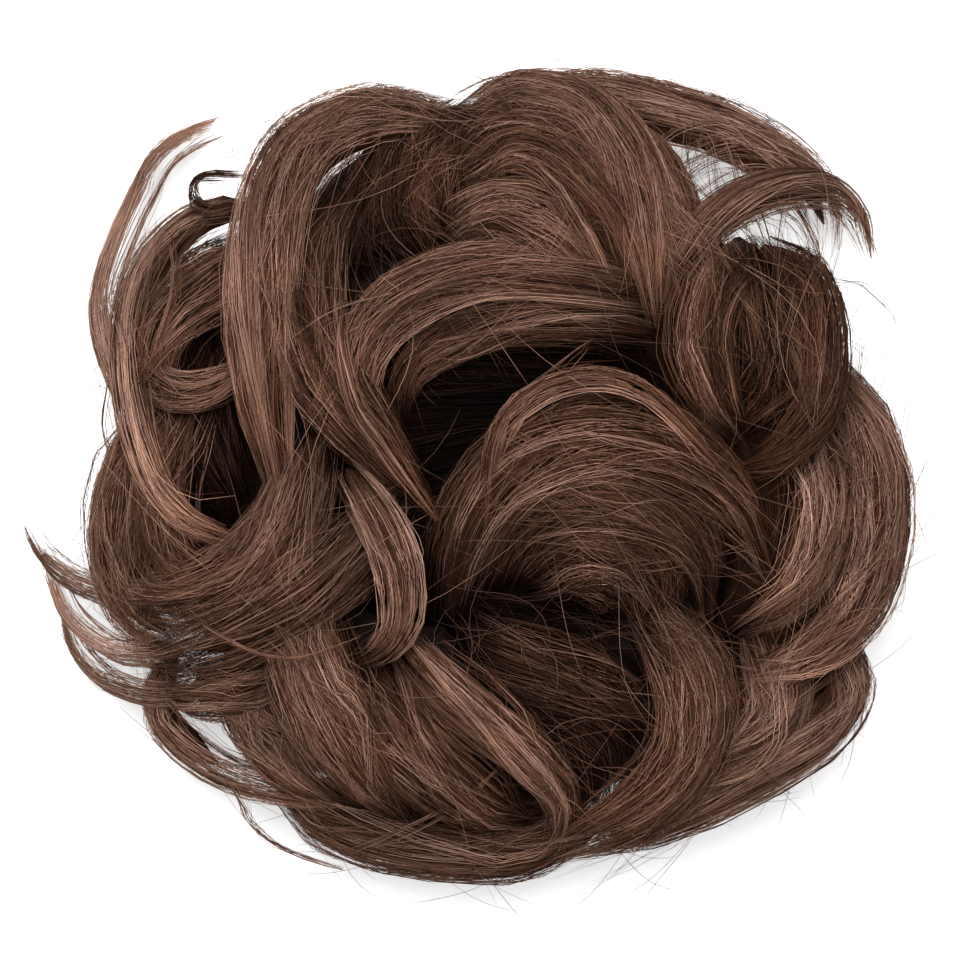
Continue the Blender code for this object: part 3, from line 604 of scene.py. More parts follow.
def core_material(columns, rows):
    material, tree = new_material("packed_fibre")
    fibre = add_node(tree, "ShaderNodeAttribute", {"attribute_name": "fibre"})
    tone = add_node(tree, "ShaderNodeSeparateColor", links={"Color": (fibre, "Color")})
    flat = add_node(tree, "ShaderNodeUVMap", {"uv_map": FIBRE_MAP})
    stretched = add_node(tree, "ShaderNodeMapping", links={"Vector": (flat, "UV")})
    stretched.inputs["Scale"].default_value = (columns * THREADS_ROUND_CORE, rows * WAVES_ALONG_CORE, 1.0)
    threads = add_node(tree, "ShaderNodeTexNoise", {"noise_dimensions": "2D"},
                       {"Vector": (stretched, "Vector"), "Scale": 1.0, "Detail": 3.0, "Roughness": 0.65})
    # Painted shade: dark gaps between the packed threads
    tint = add_node(tree, "ShaderNodeValToRGB", links={"Fac": (threads, "Fac")})
    tint.color_ramp.elements[0].position = 0.36
    tint.color_ramp.elements[0].color = linear("#0E0705")
    tint.color_ramp.elements[1].position = 0.70
    tint.color_ramp.elements[1].color = linear("#694534")
    shade = add_node(tree, "ShaderNodeVectorMath", {"operation": "SCALE"})
    tree.links.new(tint.outputs["Color"], shade.inputs[0])
    # Painted light and shade: the core's tone times the painted light and shade of its place
    kept = add_node(tree, "ShaderNodeMath", {"operation": "MULTIPLY"})
    tree.links.new(tone.outputs["Red"], kept.inputs[0])
    tree.links.new(tone.outputs["Blue"], kept.inputs[1])
    tree.links.new(kept.outputs["Value"], shade.inputs["Scale"])
    bump = add_node(tree, "ShaderNodeBump", links={"Height": (threads, "Fac"), "Strength": PACKED_RELIEF,
                                                    "Distance": PACKED_RELIEF_DEPTH})
    shader = add_node(tree, "ShaderNodeBsdfPrincipled",
                      links={"Base Color": (shade, "Vector"), "Normal": (bump, "Normal"),
                             "Roughness": PACKED_ROUGHNESS, "IOR": FIBRE_IOR,
                             "Specular IOR Level": PACKED_GLOSS})
    finish_material(tree, shader)
    return material


rng = np.random.default_rng(THREAD_SEED)
core_batches = []
for guide in shown_guides + crossing_guides + filling_guides + under_guides:
    tone, size = next(row[1:] for row in CORE_LOOKS if guide["name"].startswith(row[0]))
    core_batches.append((core_rings(rng, guide, size), np.array([tone])))
lock_cores = add_tubes("lock_cores", core_batches)
lock_cores.data.materials.append(core_material(*atlas_size(len(core_batches))))
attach(lock_cores, "root")
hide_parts("hair_locks")

# Gathered roots
# The sewn ends of all locks: fibre folded over the elastic and pleated by the stitching, with
# the open hollow for the wearer's own hair in the middle. They show from below only, painted
# darker than the locks as painted shade under the bun, and their threads are drawn coarse enough to show.

ROOT_INNER_RADIUS = 0.0218
ROOT_RING_WIDTH = 0.030
ROOT_RING_HEIGHT = 0.036
ROOT_STEPS = 288
PLEATS = 48
PLEAT_DEPTH = 0.0006
ROOT_THREADS_PER_METRE = 700.0
ROOT_GLOSS = 0.04
ROOT_SECTION = (
    # outwards from the hollow, up from the floor
    (0.00, 0.14),
    (0.02, 0.13),
    (0.28, 0.13),
    (0.30, 0.02),
    (0.70, 0.06),
    (0.95, 0.28),
    (1.00, 0.55),
    (0.85, 0.85),
    (0.55, 1.00),
    (0.22, 0.95),
    (0.04, 0.80),
    (0.00, 0.60),
)


def make_roots():
    """The ring of roots: one section carried round the hollow and drawn in at every pleat."""
    section = np.array(ROOT_SECTION) * (ROOT_RING_WIDTH, ROOT_RING_HEIGHT)
    angle = np.linspace(0, 2 * pi, ROOT_STEPS, endpoint=False)
    pleat = PLEAT_DEPTH * np.abs(np.sin(angle * PLEATS / 2))
    middle = section.mean(axis=0)
    away = unit(section - middle)
    radius = ROOT_INNER_RADIUS + section[None, :, 0] - pleat[:, None] * away[None, :, 0]
    height = section[None, :, 1] - pleat[:, None] * away[None, :, 1]
    rings = np.stack([radius * np.cos(angle)[:, None], radius * np.sin(angle)[:, None], height], -1)
    rings += CENTRE
    sides = len(section)
    step = np.arange(ROOT_STEPS)[:, None] * sides
    after = (np.arange(ROOT_STEPS)[:, None] + 1) % ROOT_STEPS * sides
    side = np.arange(sides)[None, :]
    following = (side + 1) % sides
    quads = np.stack([step + side, step + following, after + following, after + side], -1)
    mesh = bpy.data.meshes.new("gathered_roots")
    mesh.from_pydata(rings.reshape(-1, 3).tolist(), [], quads.reshape(-1, 4).tolist())
    mesh.update()
    mesh.flip_normals()
    mesh.shade_smooth()
    piece = bpy.data.objects.new("gathered_roots", mesh)
    bpy.context.collection.objects.link(piece)
    return piece


def root_material():
    material, tree = new_material("sewn_fibre")
    where = add_node(tree, "ShaderNodeTexCoord")
    threads = add_node(tree, "ShaderNodeTexNoise", {"noise_dimensions": "3D"},
                       {"Vector": (where, "Object"), "Scale": ROOT_THREADS_PER_METRE, "Detail": 4.0,
                        "Roughness": 0.7})
    # Painted shade: the roots' fibre is painted near black
    tint = add_node(tree, "ShaderNodeValToRGB", links={"Fac": (threads, "Fac")})
    tint.color_ramp.elements[0].position = 0.35
    tint.color_ramp.elements[0].color = linear("#050302")
    tint.color_ramp.elements[1].position = 0.68
    tint.color_ramp.elements[1].color = linear("#1E130F")
    bump = add_node(tree, "ShaderNodeBump", links={"Height": (threads, "Fac"), "Strength": PACKED_RELIEF,
                                                    "Distance": PACKED_RELIEF_DEPTH})
    shader = add_node(tree, "ShaderNodeBsdfPrincipled",
                      links={"Base Color": (tint, "Color"), "Normal": (bump, "Normal"),
                             "Roughness": PACKED_ROUGHNESS, "IOR": FIBRE_IOR,
                             "Specular IOR Level": ROOT_GLOSS})
    finish_material(tree, shader)
    return material


gathered_roots = make_roots()
gathered_roots.data.materials.append(root_material())
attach(gathered_roots, "root")
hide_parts("hair_locks")

# Combed strands
# The threads that lie round each lock's outside: crimped synthetic fibre, combed together in
# small clumps that wander, cross, part and end in thin points at the tip. Clumps gather in
# bundles, of which some are lively and lean across the lock.

STRAND_RADIUS = 0.000054
STRAND_RADII = (0.75, 1.2)
STRAND_SIDES = 3
STRAND_ROOT = (0.08, 0.5)
STRAND_TIP = (0.22, 0.25)
STRAND_SEED = 23
STRANDS_PER_METRE = 24500
CLUMP = 9
BUNDLE = 45
BUNDLED_SHARE = 0.6
CALM = 0.22

# How many degrees a strand bends from one of its places to the next. A free lock is one that
# stands out from the bun, where the bends show more.
STRAND_BEND = 19.0
FREE_BEND = 10.0
FEWEST_PLACES, MOST_PLACES = 6, 21
FREE = ("wisp_", "left_outer", "left_tip", "right_arch")

# Shares of the lock's length at which strands begin, end and splay
BEGINNINGS = (-0.02, 0.20)
ENDINGS = (0.80, 1.04)
FREE_ENDINGS = (0.90, 1.04)
LAST_ENDING = 1.08
FREE_LAST_ENDING = 1.0
ENDING_SPREAD = 0.03
SPLAY_BEGINS = 0.60
LEAST_SPLAY = -0.4

# How far strands lean and sway, in half widths of the lock
BUNDLE_LEAN, CLUMP_LEAN, STRAND_LEAN = 0.60, 0.16, 0.12
LEAN_PIVOT = 0.4
BUNDLE_SWAY, BUNDLE_PACE = 0.36, (0.3, 0.9)
CLUMP_SWAY, CLUMP_PACE = 0.14, (0.3, 1.3)

# How high strands lie, in half thicknesses of the lock: most on its surface, some sunk between
# the others, some round its underside, and all lower where the lock is gathered
STRAND_COVER = 1.05
BUNDLE_LEVEL = (0.10, 0.15)
CLUMP_LEVEL = (0.98, 0.05)
SUNK_SHARE, SUNK_LEVELS = 0.22, (0.3, 0.9)
GATHERED = ((0.0, 0.14, 0.86, 1.0), (0.45, 1.0, 1.0, 0.55))
UNDERSIDE_LEVEL, UNDERSIDE_REACH = -0.8, 1.1

# Crimp that keeps strands off their line, and the few that leave the lock at its tip
FRIZZY_SHARE, FRIZZY, CRIMPED = 0.08, 0.0009, 0.00011
CRIMP_PACE, CRIMP_LIFT = (0.8, 2.6), 0.7
LEAVING_SHARE, LEAVING_WAY, LEAVING_LIFT = 0.05, 0.006, 0.3

# Tones run from 0, dark, to 1, pale
MIDDLE_TONE = 0.5
BUNDLE_TONE, CLUMP_TONE, STRAND_TONE = 0.09, 0.11, 0.16

# The tone column shifts a lock's tone: down as painted shade for locks that lie deep or in hollows, up as
# painted light for the outline locks and thin wisps that catch the light.
SPREADS = (
    # start of the lock's name, density, how far its strands reach past its core, how far they may
    # leave that reach, spread within a clump, splay of the tip, drop at the edges, tone
    ("left_top_sweep", 1.0, 1.06, 1.12, 0.09, 0.4, 0.7, 0.04),
    ("left_outer", 1.6, 1.10, 1.10, 0.42, 0.7, 0.3, 0.20),
    ("left_tip", 1.2, 1.05, 1.50, 0.30, 0.5, 0.3, 0.20),
    ("left_wisp", 1.0, 1.05, 1.30, 0.10, 0.6, 0.5, -0.04),
    ("left_hoop", 0.9, 1.10, 1.20, 0.10, 0.6, 0.6, 0.06),
    ("left_dark", 1.0, 1.15, 1.30, 0.10, 0.5, 0.4, -0.36),
    ("left_upper", 1.0, 1.10, 1.15, 0.10, 0.5, 0.4, -0.20),
    ("left_bulge_inner", 1.0, 1.10, 1.40, 0.10, 0.4, 0.4, -0.10),
    ("left_bulge", 1.0, 0.98, 1.02, 0.08, 0.4, 0.8, 0.06),
    ("left_crescent", 1.0, 1.10, 1.20, 0.10, 0.5, 0.5, 0.06),
    ("bottom_left", 1.0, 1.15, 1.20, 0.14, 0.6, 0.6, 0.06),
    ("bottom_inner", 0.8, 1.0, 1.06, 0.08, 0.4, 0.6, -0.20),
    ("bottom_sweep", 1.0, 1.05, 1.12, 0.08, 0.3, 0.8, -0.04),
    ("top_right_inner", 1.0, 0.95, 1.02, 0.10, 0.4, 0.6, 0.0),
    ("top_right_outline", 1.0, 1.00, 1.04, 0.10, 0.5, 0.7, 0.10),
    ("top_centre", 1.0, 1.08, 1.14, 0.08, 0.5, 0.6, -0.02),
    ("right_broad_inner", 1.0, 1.2, 1.50, 0.10, 0.3, 0.4, -0.02),
    ("right_broad", 1.0, 0.98, 1.02, 0.08, 0.3, 0.8, 0.08),
    ("right_arch", 1.4, 1.10, 1.30, 0.14, 0.8, 0.6, 0.12),
    ("right_fall_middle", 1.0, 1.2, 1.4, 0.12, 0.4, 0.4, -0.30),
    ("right_fall_inner", 1.0, 1.2, 1.5, 0.10, 0.4, 0.5, -0.28),
    ("right_fall_outer", 1.0, 1.00, 1.04, 0.10, 0.4, 0.6, -0.18),
    ("lower_right_inner", 1.0, 1.10, 1.30, 0.10, 0.3, 0.4, 0.10),
    ("lower_right", 1.0, 0.98, 1.02, 0.08, 0.3, 0.8, 0.10),
    ("lower_left_edge", 1.0, 1.0, 1.06, 0.08, 0.3, 0.7, 0.08),
    ("lower_left_fall", 1.0, 1.15, 1.5, 0.10, 0.5, 0.4, 0.0),
    ("crown_shadow", 0.8, 1.2, 1.4, 0.10, 0.4, 0.4, -0.34),
    ("crown_fold", 1.0, 1.2, 1.4, 0.10, 0.4, 0.4, -0.20),
    ("crown", 1.0, 1.2, 1.5, 0.10, 0.4, 0.4, -0.02),
    ("crossing", 0.6, 1.1, 1.3, 0.10, 0.0, 0.4, -0.50),
    ("lower_heart", 0.8, 1.2, 1.4, 0.10, 0.5, 0.4, -0.30),
    ("lower_centre", 1.0, 1.2, 1.4, 0.10, 0.5, 0.4, -0.28),
    ("lower_middle", 1.0, 1.2, 1.5, 0.10, 0.5, 0.4, -0.18),
    ("small_diagonal", 1.0, 1.2, 1.5, 0.10, 0.5, 0.4, -0.02),
    ("c_curl", 1.0, 1.12, 1.20, 0.08, 0.5, 0.5, -0.10),
    ("big_curl_heart", 1.0, 1.2, 1.5, 0.10, 0.5, 0.3, -0.16),
    ("big_curl_inner", 1.0, 1.2, 1.6, 0.10, 0.5, 0.3, -0.08),
    ("big_curl_outer", 1.0, 1.15, 1.3, 0.10, 0.5, 0.4, -0.04),
    ("under_lock", 1.0, 1.0, 1.04, 0.08, 0.2, 0.9, 0.0),
    ("wisp_gap", 1.0, 1.0, 2.0, 0.20, 0.3, 0.4, 0.10),
    ("wisp_fill", 1.0, 1.0, 1.4, 0.30, 0.4, 0.4, -0.16),
    ("wisp_hooked", 1.0, 1.0, 1.6, 0.25, 0.8, 0.4, -0.10),
    ("wisp_", 1.0, 1.0, 1.2, 0.15, 0.3, 0.4, 0.0),
    ("inner_left", 1.0, 1.15, 1.45, 0.10, 0.5, 0.4, -0.08),
    ("", 1.0, 1.15, 1.45, 0.10, 0.5, 0.4, 0.0),
)


def strand_rings(places, up, radius):
    """Three-sided rings round strands of (strand, station, 3), thin at both ends."""
    along = unit(np.gradient(places, axis=1))
    across = unit(np.cross(along, up))
    outwards = np.cross(across, along)
    stations = places.shape[1]
    share = np.linspace(0, 1, stations)
    root = share / STRAND_ROOT[0] + STRAND_ROOT[1]
    tip = (1 - share) / STRAND_TIP[0] + STRAND_TIP[1]
    size = radius[:, None] * np.clip(np.minimum(root, tip), 0, 1)[None, :]
    turn = 2 * pi * np.arange(STRAND_SIDES) / STRAND_SIDES + pi / 2
    return (places[:, :, None, :]
            + across[:, :, None, :] * (size[..., None] * np.cos(turn))[..., None]
            + outwards[:, :, None, :] * (size[..., None] * np.sin(turn))[..., None])


def comb(rng, guide, count, under_share):
    """Strands on the outside of one lock, with a tone each."""
    density, spread, leave, loose, splay_most, drop, tone_shift = next(
        row[1:] for row in SPREADS if guide["name"].startswith(row[0]))
    count = int(count * density)
    free = guide["name"].startswith(FREE)
    stations = round(guide["turning"] / (FREE_BEND if free else STRAND_BEND)) + 3
    stations = int(np.clip(stations, FEWEST_PLACES, MOST_PLACES))
    bundles = max(2, round(count / BUNDLE))
    clumps = max(4, count // CLUMP)
    bundle = rng.integers(bundles, size=clumps)
    lively = np.where(rng.random(clumps) < BUNDLED_SHARE, 1.0, CALM)
    clump = rng.integers(clumps, size=count)
    home = rng.permutation(np.linspace(-1.0, 1.0, clumps))
    apart = rng.normal(0, loose, count)
    begin = rng.uniform(*BEGINNINGS, clumps)[clump] + rng.normal(0, ENDING_SPREAD, count)
    begin = np.maximum(begin, 0)
    finish = rng.uniform(*(FREE_ENDINGS if free else ENDINGS), bundles)[bundle]
    finish = (finish + rng.normal(0, ENDING_SPREAD, clumps))[clump] + rng.normal(0, ENDING_SPREAD, count)
    finish = np.minimum(finish, FREE_LAST_ENDING if free else LAST_ENDING)
    steps = np.interp(np.linspace(0, 1, stations), guide["pace"], guide["share"][:GUIDE_STATIONS])
    share = begin[:, None] + (finish - begin)[:, None] * steps
    late = np.clip((share - SPLAY_BEGINS) / (1 - SPLAY_BEGINS), 0, 1) ** 2
    splay = 1 + late * rng.uniform(LEAST_SPLAY, splay_most, clumps)[clump][:, None]
    lean = rng.normal(0, BUNDLE_LEAN, bundles)[bundle] * lively
    lean = (lean + rng.normal(0, CLUMP_LEAN, clumps))[clump] + rng.normal(0, STRAND_LEAN, count)
    sway = waves(rng, bundles, stations, *BUNDLE_PACE)[bundle] * BUNDLE_SWAY * lively[:, None]
    wander = waves(rng, clumps, stations, *CLUMP_PACE) * CLUMP_SWAY
    side = (home[clump][:, None] * splay + apart[:, None] * (1 - late / 2)
            + lean[:, None] * (share - LEAN_PIVOT) + sway[clump] + wander[clump])
    side = leave * 2 / pi * np.arcsin(np.sin(pi / 2 * side / leave))
    level = rng.normal(*BUNDLE_LEVEL, bundles)[bundle] * lively
    level = (level + rng.normal(*CLUMP_LEVEL, clumps))[clump]
    level = np.where(rng.random(count) < SUNK_SHARE, level * rng.uniform(*SUNK_LEVELS, count), level)
    rise = (1 - drop * side ** 2) * level[:, None]
    if not free:
        rise *= np.interp(share, *GATHERED)
    under = rng.random(count) < under_share
    underside = UNDERSIDE_LEVEL * np.sqrt(np.clip(1 - (side / UNDERSIDE_REACH) ** 2, 0, 1))
    rise = np.where(under[:, None], underside, rise)
    crimp = np.where(rng.random(count) < FRIZZY_SHARE, FRIZZY, CRIMPED)[:, None]
    frizz = waves(rng, count, stations, *CRIMP_PACE) * crimp
    lift = waves(rng, count, stations, *CRIMP_PACE) * crimp * CRIMP_LIFT
    leaving = np.where(rng.random(count) < LEAVING_SHARE, rng.normal(0, LEAVING_WAY, count), 0)
    leaving = leaving[:, None] * late
    over = side * read_guide(guide, "half_width", share) * spread + frizz + leaving
    out = (rise * read_guide(guide, "half_thickness", share) * STRAND_COVER + lift
           + np.abs(leaving) * LEAVING_LIFT)
    outwards = read_guide(guide, "outwards", share)
    places = (read_guide(guide, "places", share) + read_guide(guide, "across", share) * over[..., None]
              + outwards * out[..., None])
    places[..., 2] = np.maximum(places[..., 2], FLOOR_GAP)
    # Each lock's tone shift is its painted shade or painted light; the rest varies at random
    tone = rng.normal(0, BUNDLE_TONE, bundles)[bundle] + rng.normal(0, CLUMP_TONE, clumps)
    tone = MIDDLE_TONE + tone_shift + tone[clump] + rng.normal(0, STRAND_TONE, count)
    radius = STRAND_RADIUS * rng.uniform(*STRAND_RADII, count)
    return strand_rings(places, outwards, radius), np.clip(tone, 0, 1)


# The same crimped fibre, thread by thread: dark to pale by each thread's tone, a little redder
# at its thin tip, and uneven in patches, as dyed and curled fibre looks. Each thread's tone also
# holds its lock's painted shade or painted light, and the colour is scaled by the painted light and
# shade of its place.

STRAND_GLOSS = 0.03
STRAND_ROUGHNESS = 0.46
TIP_BEGINS = 0.6
TIP_TINT = (1.06, 0.96, 0.86, 1.0)
PATCH_SIZE = 0.011
PATCH_TONES = (0.80, 1.18)


def strand_material():
    material, tree = new_material("crimped_fibre")
    fibre = add_node(tree, "ShaderNodeAttribute", {"attribute_name": "fibre"})
    parts = add_node(tree, "ShaderNodeSeparateColor", links={"Color": (fibre, "Color")})
    shade = add_node(tree, "ShaderNodeValToRGB", links={"Fac": (parts, "Red")})
    shade.color_ramp.elements[0].position = 0.05
    shade.color_ramp.elements[0].color = linear("#120806")
    shade.color_ramp.elements[1].position = 0.95
    shade.color_ramp.elements[1].color = linear("#C79E8B")
    middle = shade.color_ramp.elements.new(0.5)
    middle.color = linear("#694737")
    fade = add_node(tree, "ShaderNodeMapRange", links={"Value": (parts, "Green"), "From Min": TIP_BEGINS,
                                                        "From Max": 1.0, "To Min": 0.0, "To Max": 1.0})
    tip = add_node(tree, "ShaderNodeMix", {"data_type": "RGBA", "blend_type": "MULTIPLY"})
    tree.links.new(fade.outputs["Result"], tip.inputs[0])
    tree.links.new(shade.outputs["Color"], tip.inputs[6])
    tip.inputs[7].default_value = TIP_TINT
    where = add_node(tree, "ShaderNodeTexCoord")
    patches = add_node(tree, "ShaderNodeTexNoise", {"noise_dimensions": "3D"},
                       {"Vector": (where, "Object"), "Scale": 1 / PATCH_SIZE, "Detail": 1.0})
    patch = add_node(tree, "ShaderNodeMapRange", links={"Value": (patches, "Fac"), "From Min": 0.35,
                                                         "From Max": 0.65, "To Min": PATCH_TONES[0],
                                                         "To Max": PATCH_TONES[1]})
    # Painted light and shade of each place, from the fibre attribute, scales the colour
    kept = add_node(tree, "ShaderNodeMath", {"operation": "MULTIPLY"})
    tree.links.new(patch.outputs["Result"], kept.inputs[0])
    tree.links.new(parts.outputs["Blue"], kept.inputs[1])
    shaded = add_node(tree, "ShaderNodeVectorMath", {"operation": "SCALE"})
    tree.links.new(tip.outputs[2], shaded.inputs[0])
    tree.links.new(kept.outputs["Value"], shaded.inputs["Scale"])
    shader = add_node(tree, "ShaderNodeBsdfPrincipled",
                      links={"Base Color": (shaded, "Vector"), "Roughness": STRAND_ROUGHNESS,
                             "IOR": FIBRE_IOR, "Specular IOR Level": STRAND_GLOSS})
    finish_material(tree, shader)
    return material


fibre_look = strand_material()


def add_strand_piece(name, batches):
    """One piece of fibre strands, which dresses the locks."""
    piece = add_tubes(name, batches)
    piece.data.materials.append(fibre_look)
    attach(piece, "root")
    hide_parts("hair_locks")


REGIONS = (
    # piece, starts of the names of its locks
    ("crown_strands", ("crown", "central", "top_centre", "top_right", "inner_left", "left_top")),
    ("right_strands", ("right_arch", "right_fall", "right_broad", "lower_right")),
    ("curl_strands", ("big_curl", "curl_highlight", "c_curl", "small_diagonal", "lower_centre",
                      "lower_heart", "lower_middle", "hook_left")),
    ("left_strands", ("left_outer", "left_wisp", "left_tip", "left_hoop", "left_dark",
                      "left_upper", "left_bulge", "left_crescent")),
    ("bottom_strands", ("bottom_inner", "bottom_sweep", "bottom_left", "lower_left", "crossing")),
)
UNDER_SHARE = 0.10

rng = np.random.default_rng(STRAND_SEED)
for piece_name, starts in REGIONS:
    batches = []
    for guide in shown_guides + crossing_guides:
        if guide["name"].startswith(starts):
            count = int(guide["width"] * STRANDS_PER_METRE)
            batches.append(comb(rng, guide, count, UNDER_SHARE))
    add_strand_piece(piece_name, batches)

# Under strands
# The same fibre on the plain row of locks that closes the underside, combed flat round them
# and fewer, because they lie on the ground.

UNDER_STRANDS = 64
UNDER_LOCK_SHARE = 0.5

rng = np.random.default_rng(STRAND_SEED + 1)
add_strand_piece("under_strands", [comb(rng, guide, UNDER_STRANDS, UNDER_LOCK_SHARE)
                                   for guide in under_guides])

# Fine wisps
# Thin bundles of a few threads that leave the big locks: hooks, arcs over the outline, loose
# hairs across the gaps, and sunk hairs that fill the hollows between locks.

WISPS = (
    # name, strands, width, (root, middle, tip) layers, route
    ("hooked_loop", 64, 0.028, (0.90, 0.94, 0.90),
     ((-0.60, 0.73), (-0.66, 0.73), (-0.71, 0.725), (-0.73, 0.70), (-0.72, 0.66), (-0.68, 0.645),
      (-0.62, 0.66))),
    ("left_thin_fall", 18, 0.030, (0.86, 0.90, 0.84),
     ((-0.79, 0.59), (-0.77, 0.53), (-0.77, 0.455), (-0.78, 0.41), (-0.84, 0.26))),
    ("left_thin_arc", 20, 0.055, (0.84, 0.88, 0.82),
     ((-0.58, 0.44), (-0.62, 0.41), (-0.70, 0.37), (-0.77, 0.32), (-0.82, 0.27), (-0.88, 0.20))),
    ("left_thin_hook", 12, 0.012, (0.86, 0.94, 0.90),
     ((-0.78, -0.295), (-0.755, -0.31), (-0.68, -0.37), (-0.575, -0.42), (-0.48, -0.43),
      (-0.405, -0.41), (-0.30, -0.37))),
    ("pale_band", 55, 0.050, (0.90, 0.98, 0.92),
     ((-0.37, 0.38), (-0.37, 0.31), (-0.33, 0.165), (-0.27, 0.08), (-0.21, -0.005),
      (-0.14, -0.10))),
    ("straight_bundle", 7, 0.050, (0.90, 0.92, 0.96),
     ((-0.02, 0.10), (0.01, 0.14), (0.09, 0.205), (0.165, 0.275), (0.23, 0.33))),
    ("top_arc", 12, 0.020, (0.72, 0.78, 0.72),
     ((-0.15, 0.88), (-0.10, 0.92), (0.01, 0.97), (0.13, 0.985), (0.25, 0.975), (0.38, 0.94))),
    ("top_right_arc", 12, 0.020, (0.72, 0.78, 0.72),
     ((0.15, 0.96), (0.30, 0.965), (0.49, 0.93), (0.62, 0.86), (0.75, 0.79))),
    ("bottom_thin", 16, 0.025, (0.72, 0.78, 0.80),
     ((-0.42, -0.93), (-0.345, -0.90), (-0.235, -0.855), (-0.11, -0.79), (0.0, -0.70))),
    ("bottom_left_wisp", 20, 0.035, (0.66, 0.68, 0.64),
     ((-0.66, -0.70), (-0.61, -0.78), (-0.59, -0.83), (-0.53, -0.88), (-0.45, -0.915),
      (-0.37, -0.94))),
    ("lone_hair", 4, 0.008, (0.80, 0.86, 0.80),
     ((0.74, 0.46), (0.82, 0.48), (0.87, 0.47), (0.92, 0.435), (0.96, 0.39), (0.985, 0.34))),
    ("left_notch_wisp", 9, 0.015, (0.80, 0.80, 0.76),
     ((-0.93, 0.30), (-0.94, 0.21), (-0.95, 0.15), (-0.945, 0.09), (-0.92, 0.02))),
    ("arch_tip", 16, 0.030, (0.96, 0.94, 0.84),
     ((0.62, 0.68), (0.735, 0.70), (0.83, 0.67), (0.88, 0.62), (0.92, 0.53))),
    ("gap_hairs_upper", 34, 0.16, (0.66, 0.72, 0.70),
     ((0.34, 0.66), (0.42, 0.74), (0.52, 0.775), (0.63, 0.755), (0.72, 0.69))),
    ("gap_hairs_lower", 30, 0.14, (0.66, 0.74, 0.70),
     ((0.40, 0.60), (0.47, 0.68), (0.57, 0.72), (0.67, 0.69), (0.75, 0.61))),
    ("gap_hairs_across", 22, 0.16, (0.66, 0.70, 0.72),
     ((0.46, 0.86), (0.50, 0.77), (0.53, 0.68), (0.59, 0.58), (0.66, 0.50))),
    ("gap_hairs_right", 22, 0.12, (0.70, 0.72, 0.70),
     ((0.62, 0.70), (0.69, 0.62), (0.73, 0.54), (0.78, 0.46))),
    ("left_gap_hairs", 24, 0.10, (0.70, 0.74, 0.74),
     ((-0.50, 0.60), (-0.43, 0.72), (-0.34, 0.82), (-0.22, 0.86))),
    ("lower_gap_hairs", 26, 0.12, (0.66, 0.66, 0.66),
     ((-0.84, -0.48), (-0.76, -0.58), (-0.66, -0.66), (-0.56, -0.70), (-0.46, -0.74))),
    ("fill_centre", 70, 0.15, (0.60, 0.62, 0.60),
     ((-0.22, -0.20), (-0.06, -0.27), (0.10, -0.30), (0.25, -0.31), (0.40, -0.34))),
    ("fill_centre_low", 60, 0.14, (0.58, 0.62, 0.62),
     ((-0.04, -0.34), (0.10, -0.35), (0.25, -0.38), (0.40, -0.44))),
    ("fill_right", 80, 0.18, (0.64, 0.64, 0.62),
     ((0.60, 0.18), (0.65, 0.02), (0.65, -0.14), (0.60, -0.29), (0.50, -0.42))),
    ("fill_fall", 50, 0.14, (0.66, 0.70, 0.64),
     ((0.36, 0.40), (0.42, 0.28), (0.48, 0.16), (0.56, 0.04))),
    ("fill_low_right", 50, 0.14, (0.58, 0.60, 0.58),
     ((0.50, -0.44), (0.58, -0.42), (0.68, -0.42), (0.78, -0.40))),
    ("mouth_loop_left", 6, 0.020, (0.84, 0.90, 0.80),
     ((0.14, 0.10), (0.16, 0.17), (0.20, 0.22), (0.25, 0.18), (0.26, 0.11))),
    ("mouth_loop_right", 6, 0.020, (0.84, 0.92, 0.82),
     ((0.30, 0.08), (0.33, 0.16), (0.38, 0.20), (0.44, 0.14), (0.46, 0.06))),
)

rng = np.random.default_rng(STRAND_SEED + 2)
wisp_batches = []
for name, count, width, layers, route in WISPS:
    guide = shown_guide("wisp_" + name, width, width, layers, 0.0, route)
    wisp_batches.append(comb(rng, guide, count, 0.0))
add_strand_piece("fine_wisps", wisp_batches)

# Stray hairs
# Single threads that left their lock: nearly straight ones that lie across the others and
# bridge the dark hollows, and short bent ones that stand out past the outline.

STRAYS = 480
STRAY_STATIONS = 9
STRAY_FIELD = 1.1
STRAY_LENGTH = (0.016, 0.062)
SHORT_ONES = 1.5
STRAY_BEND = 20.0
STRAY_TURN = 0.36
STRAY_SWAY = 0.25
SWAY_PACE = (0.6, 1.6)
STRAY_LIFT = (0.0010, 0.0028)
STRAY_RADIUS = 0.000041
STRAY_RADII = (0.8, 1.25)
STRAY_SEED = 31
ABOVE_ALL = 0.2

DEEPEST_BRIDGE = 0.006
BRIDGING_SHARE = 0.03
DARKEST = 0.5

FLYAWAYS = 330
FLYAWAY_LENGTH = (0.008, 0.026)
FLYAWAY_BEND = 15.0
FLYAWAY_TURNS = (1.1, 1.65)
FLYAWAY_INSET = 0.006
FLYAWAY_DEPTH = 0.012
FLYAWAY_DROP = 0.10
OUTLINE_SEARCH = 1.25
OUTLINE_STEP = 0.001

TANGLES = 110
TANGLE_STRANDS = 8
TANGLE_FIELD = 1.05
TANGLE_LENGTH = (0.016, 0.042)
TANGLE_BEND = 14.0
TANGLE_TURN = 0.38
TANGLE_WIDTH = 0.0011
TANGLE_LIFT = (0.0006, 0.0014)
TANGLE_PINCHES = (0.2, 0.8)
TANGLE_WAIST, TANGLE_FAN = 0.35, 1.3

# Laid, tangled and messy hairs lie on top and get tones paler than the middle, as painted light; flyaways
# keep the middle tone
LAID_TONE, FLYAWAY_TONE, TANGLE_TONE, MESSY_TONE = 0.64, 0.5, 0.54, 0.58
STRAY_TONES = 0.14

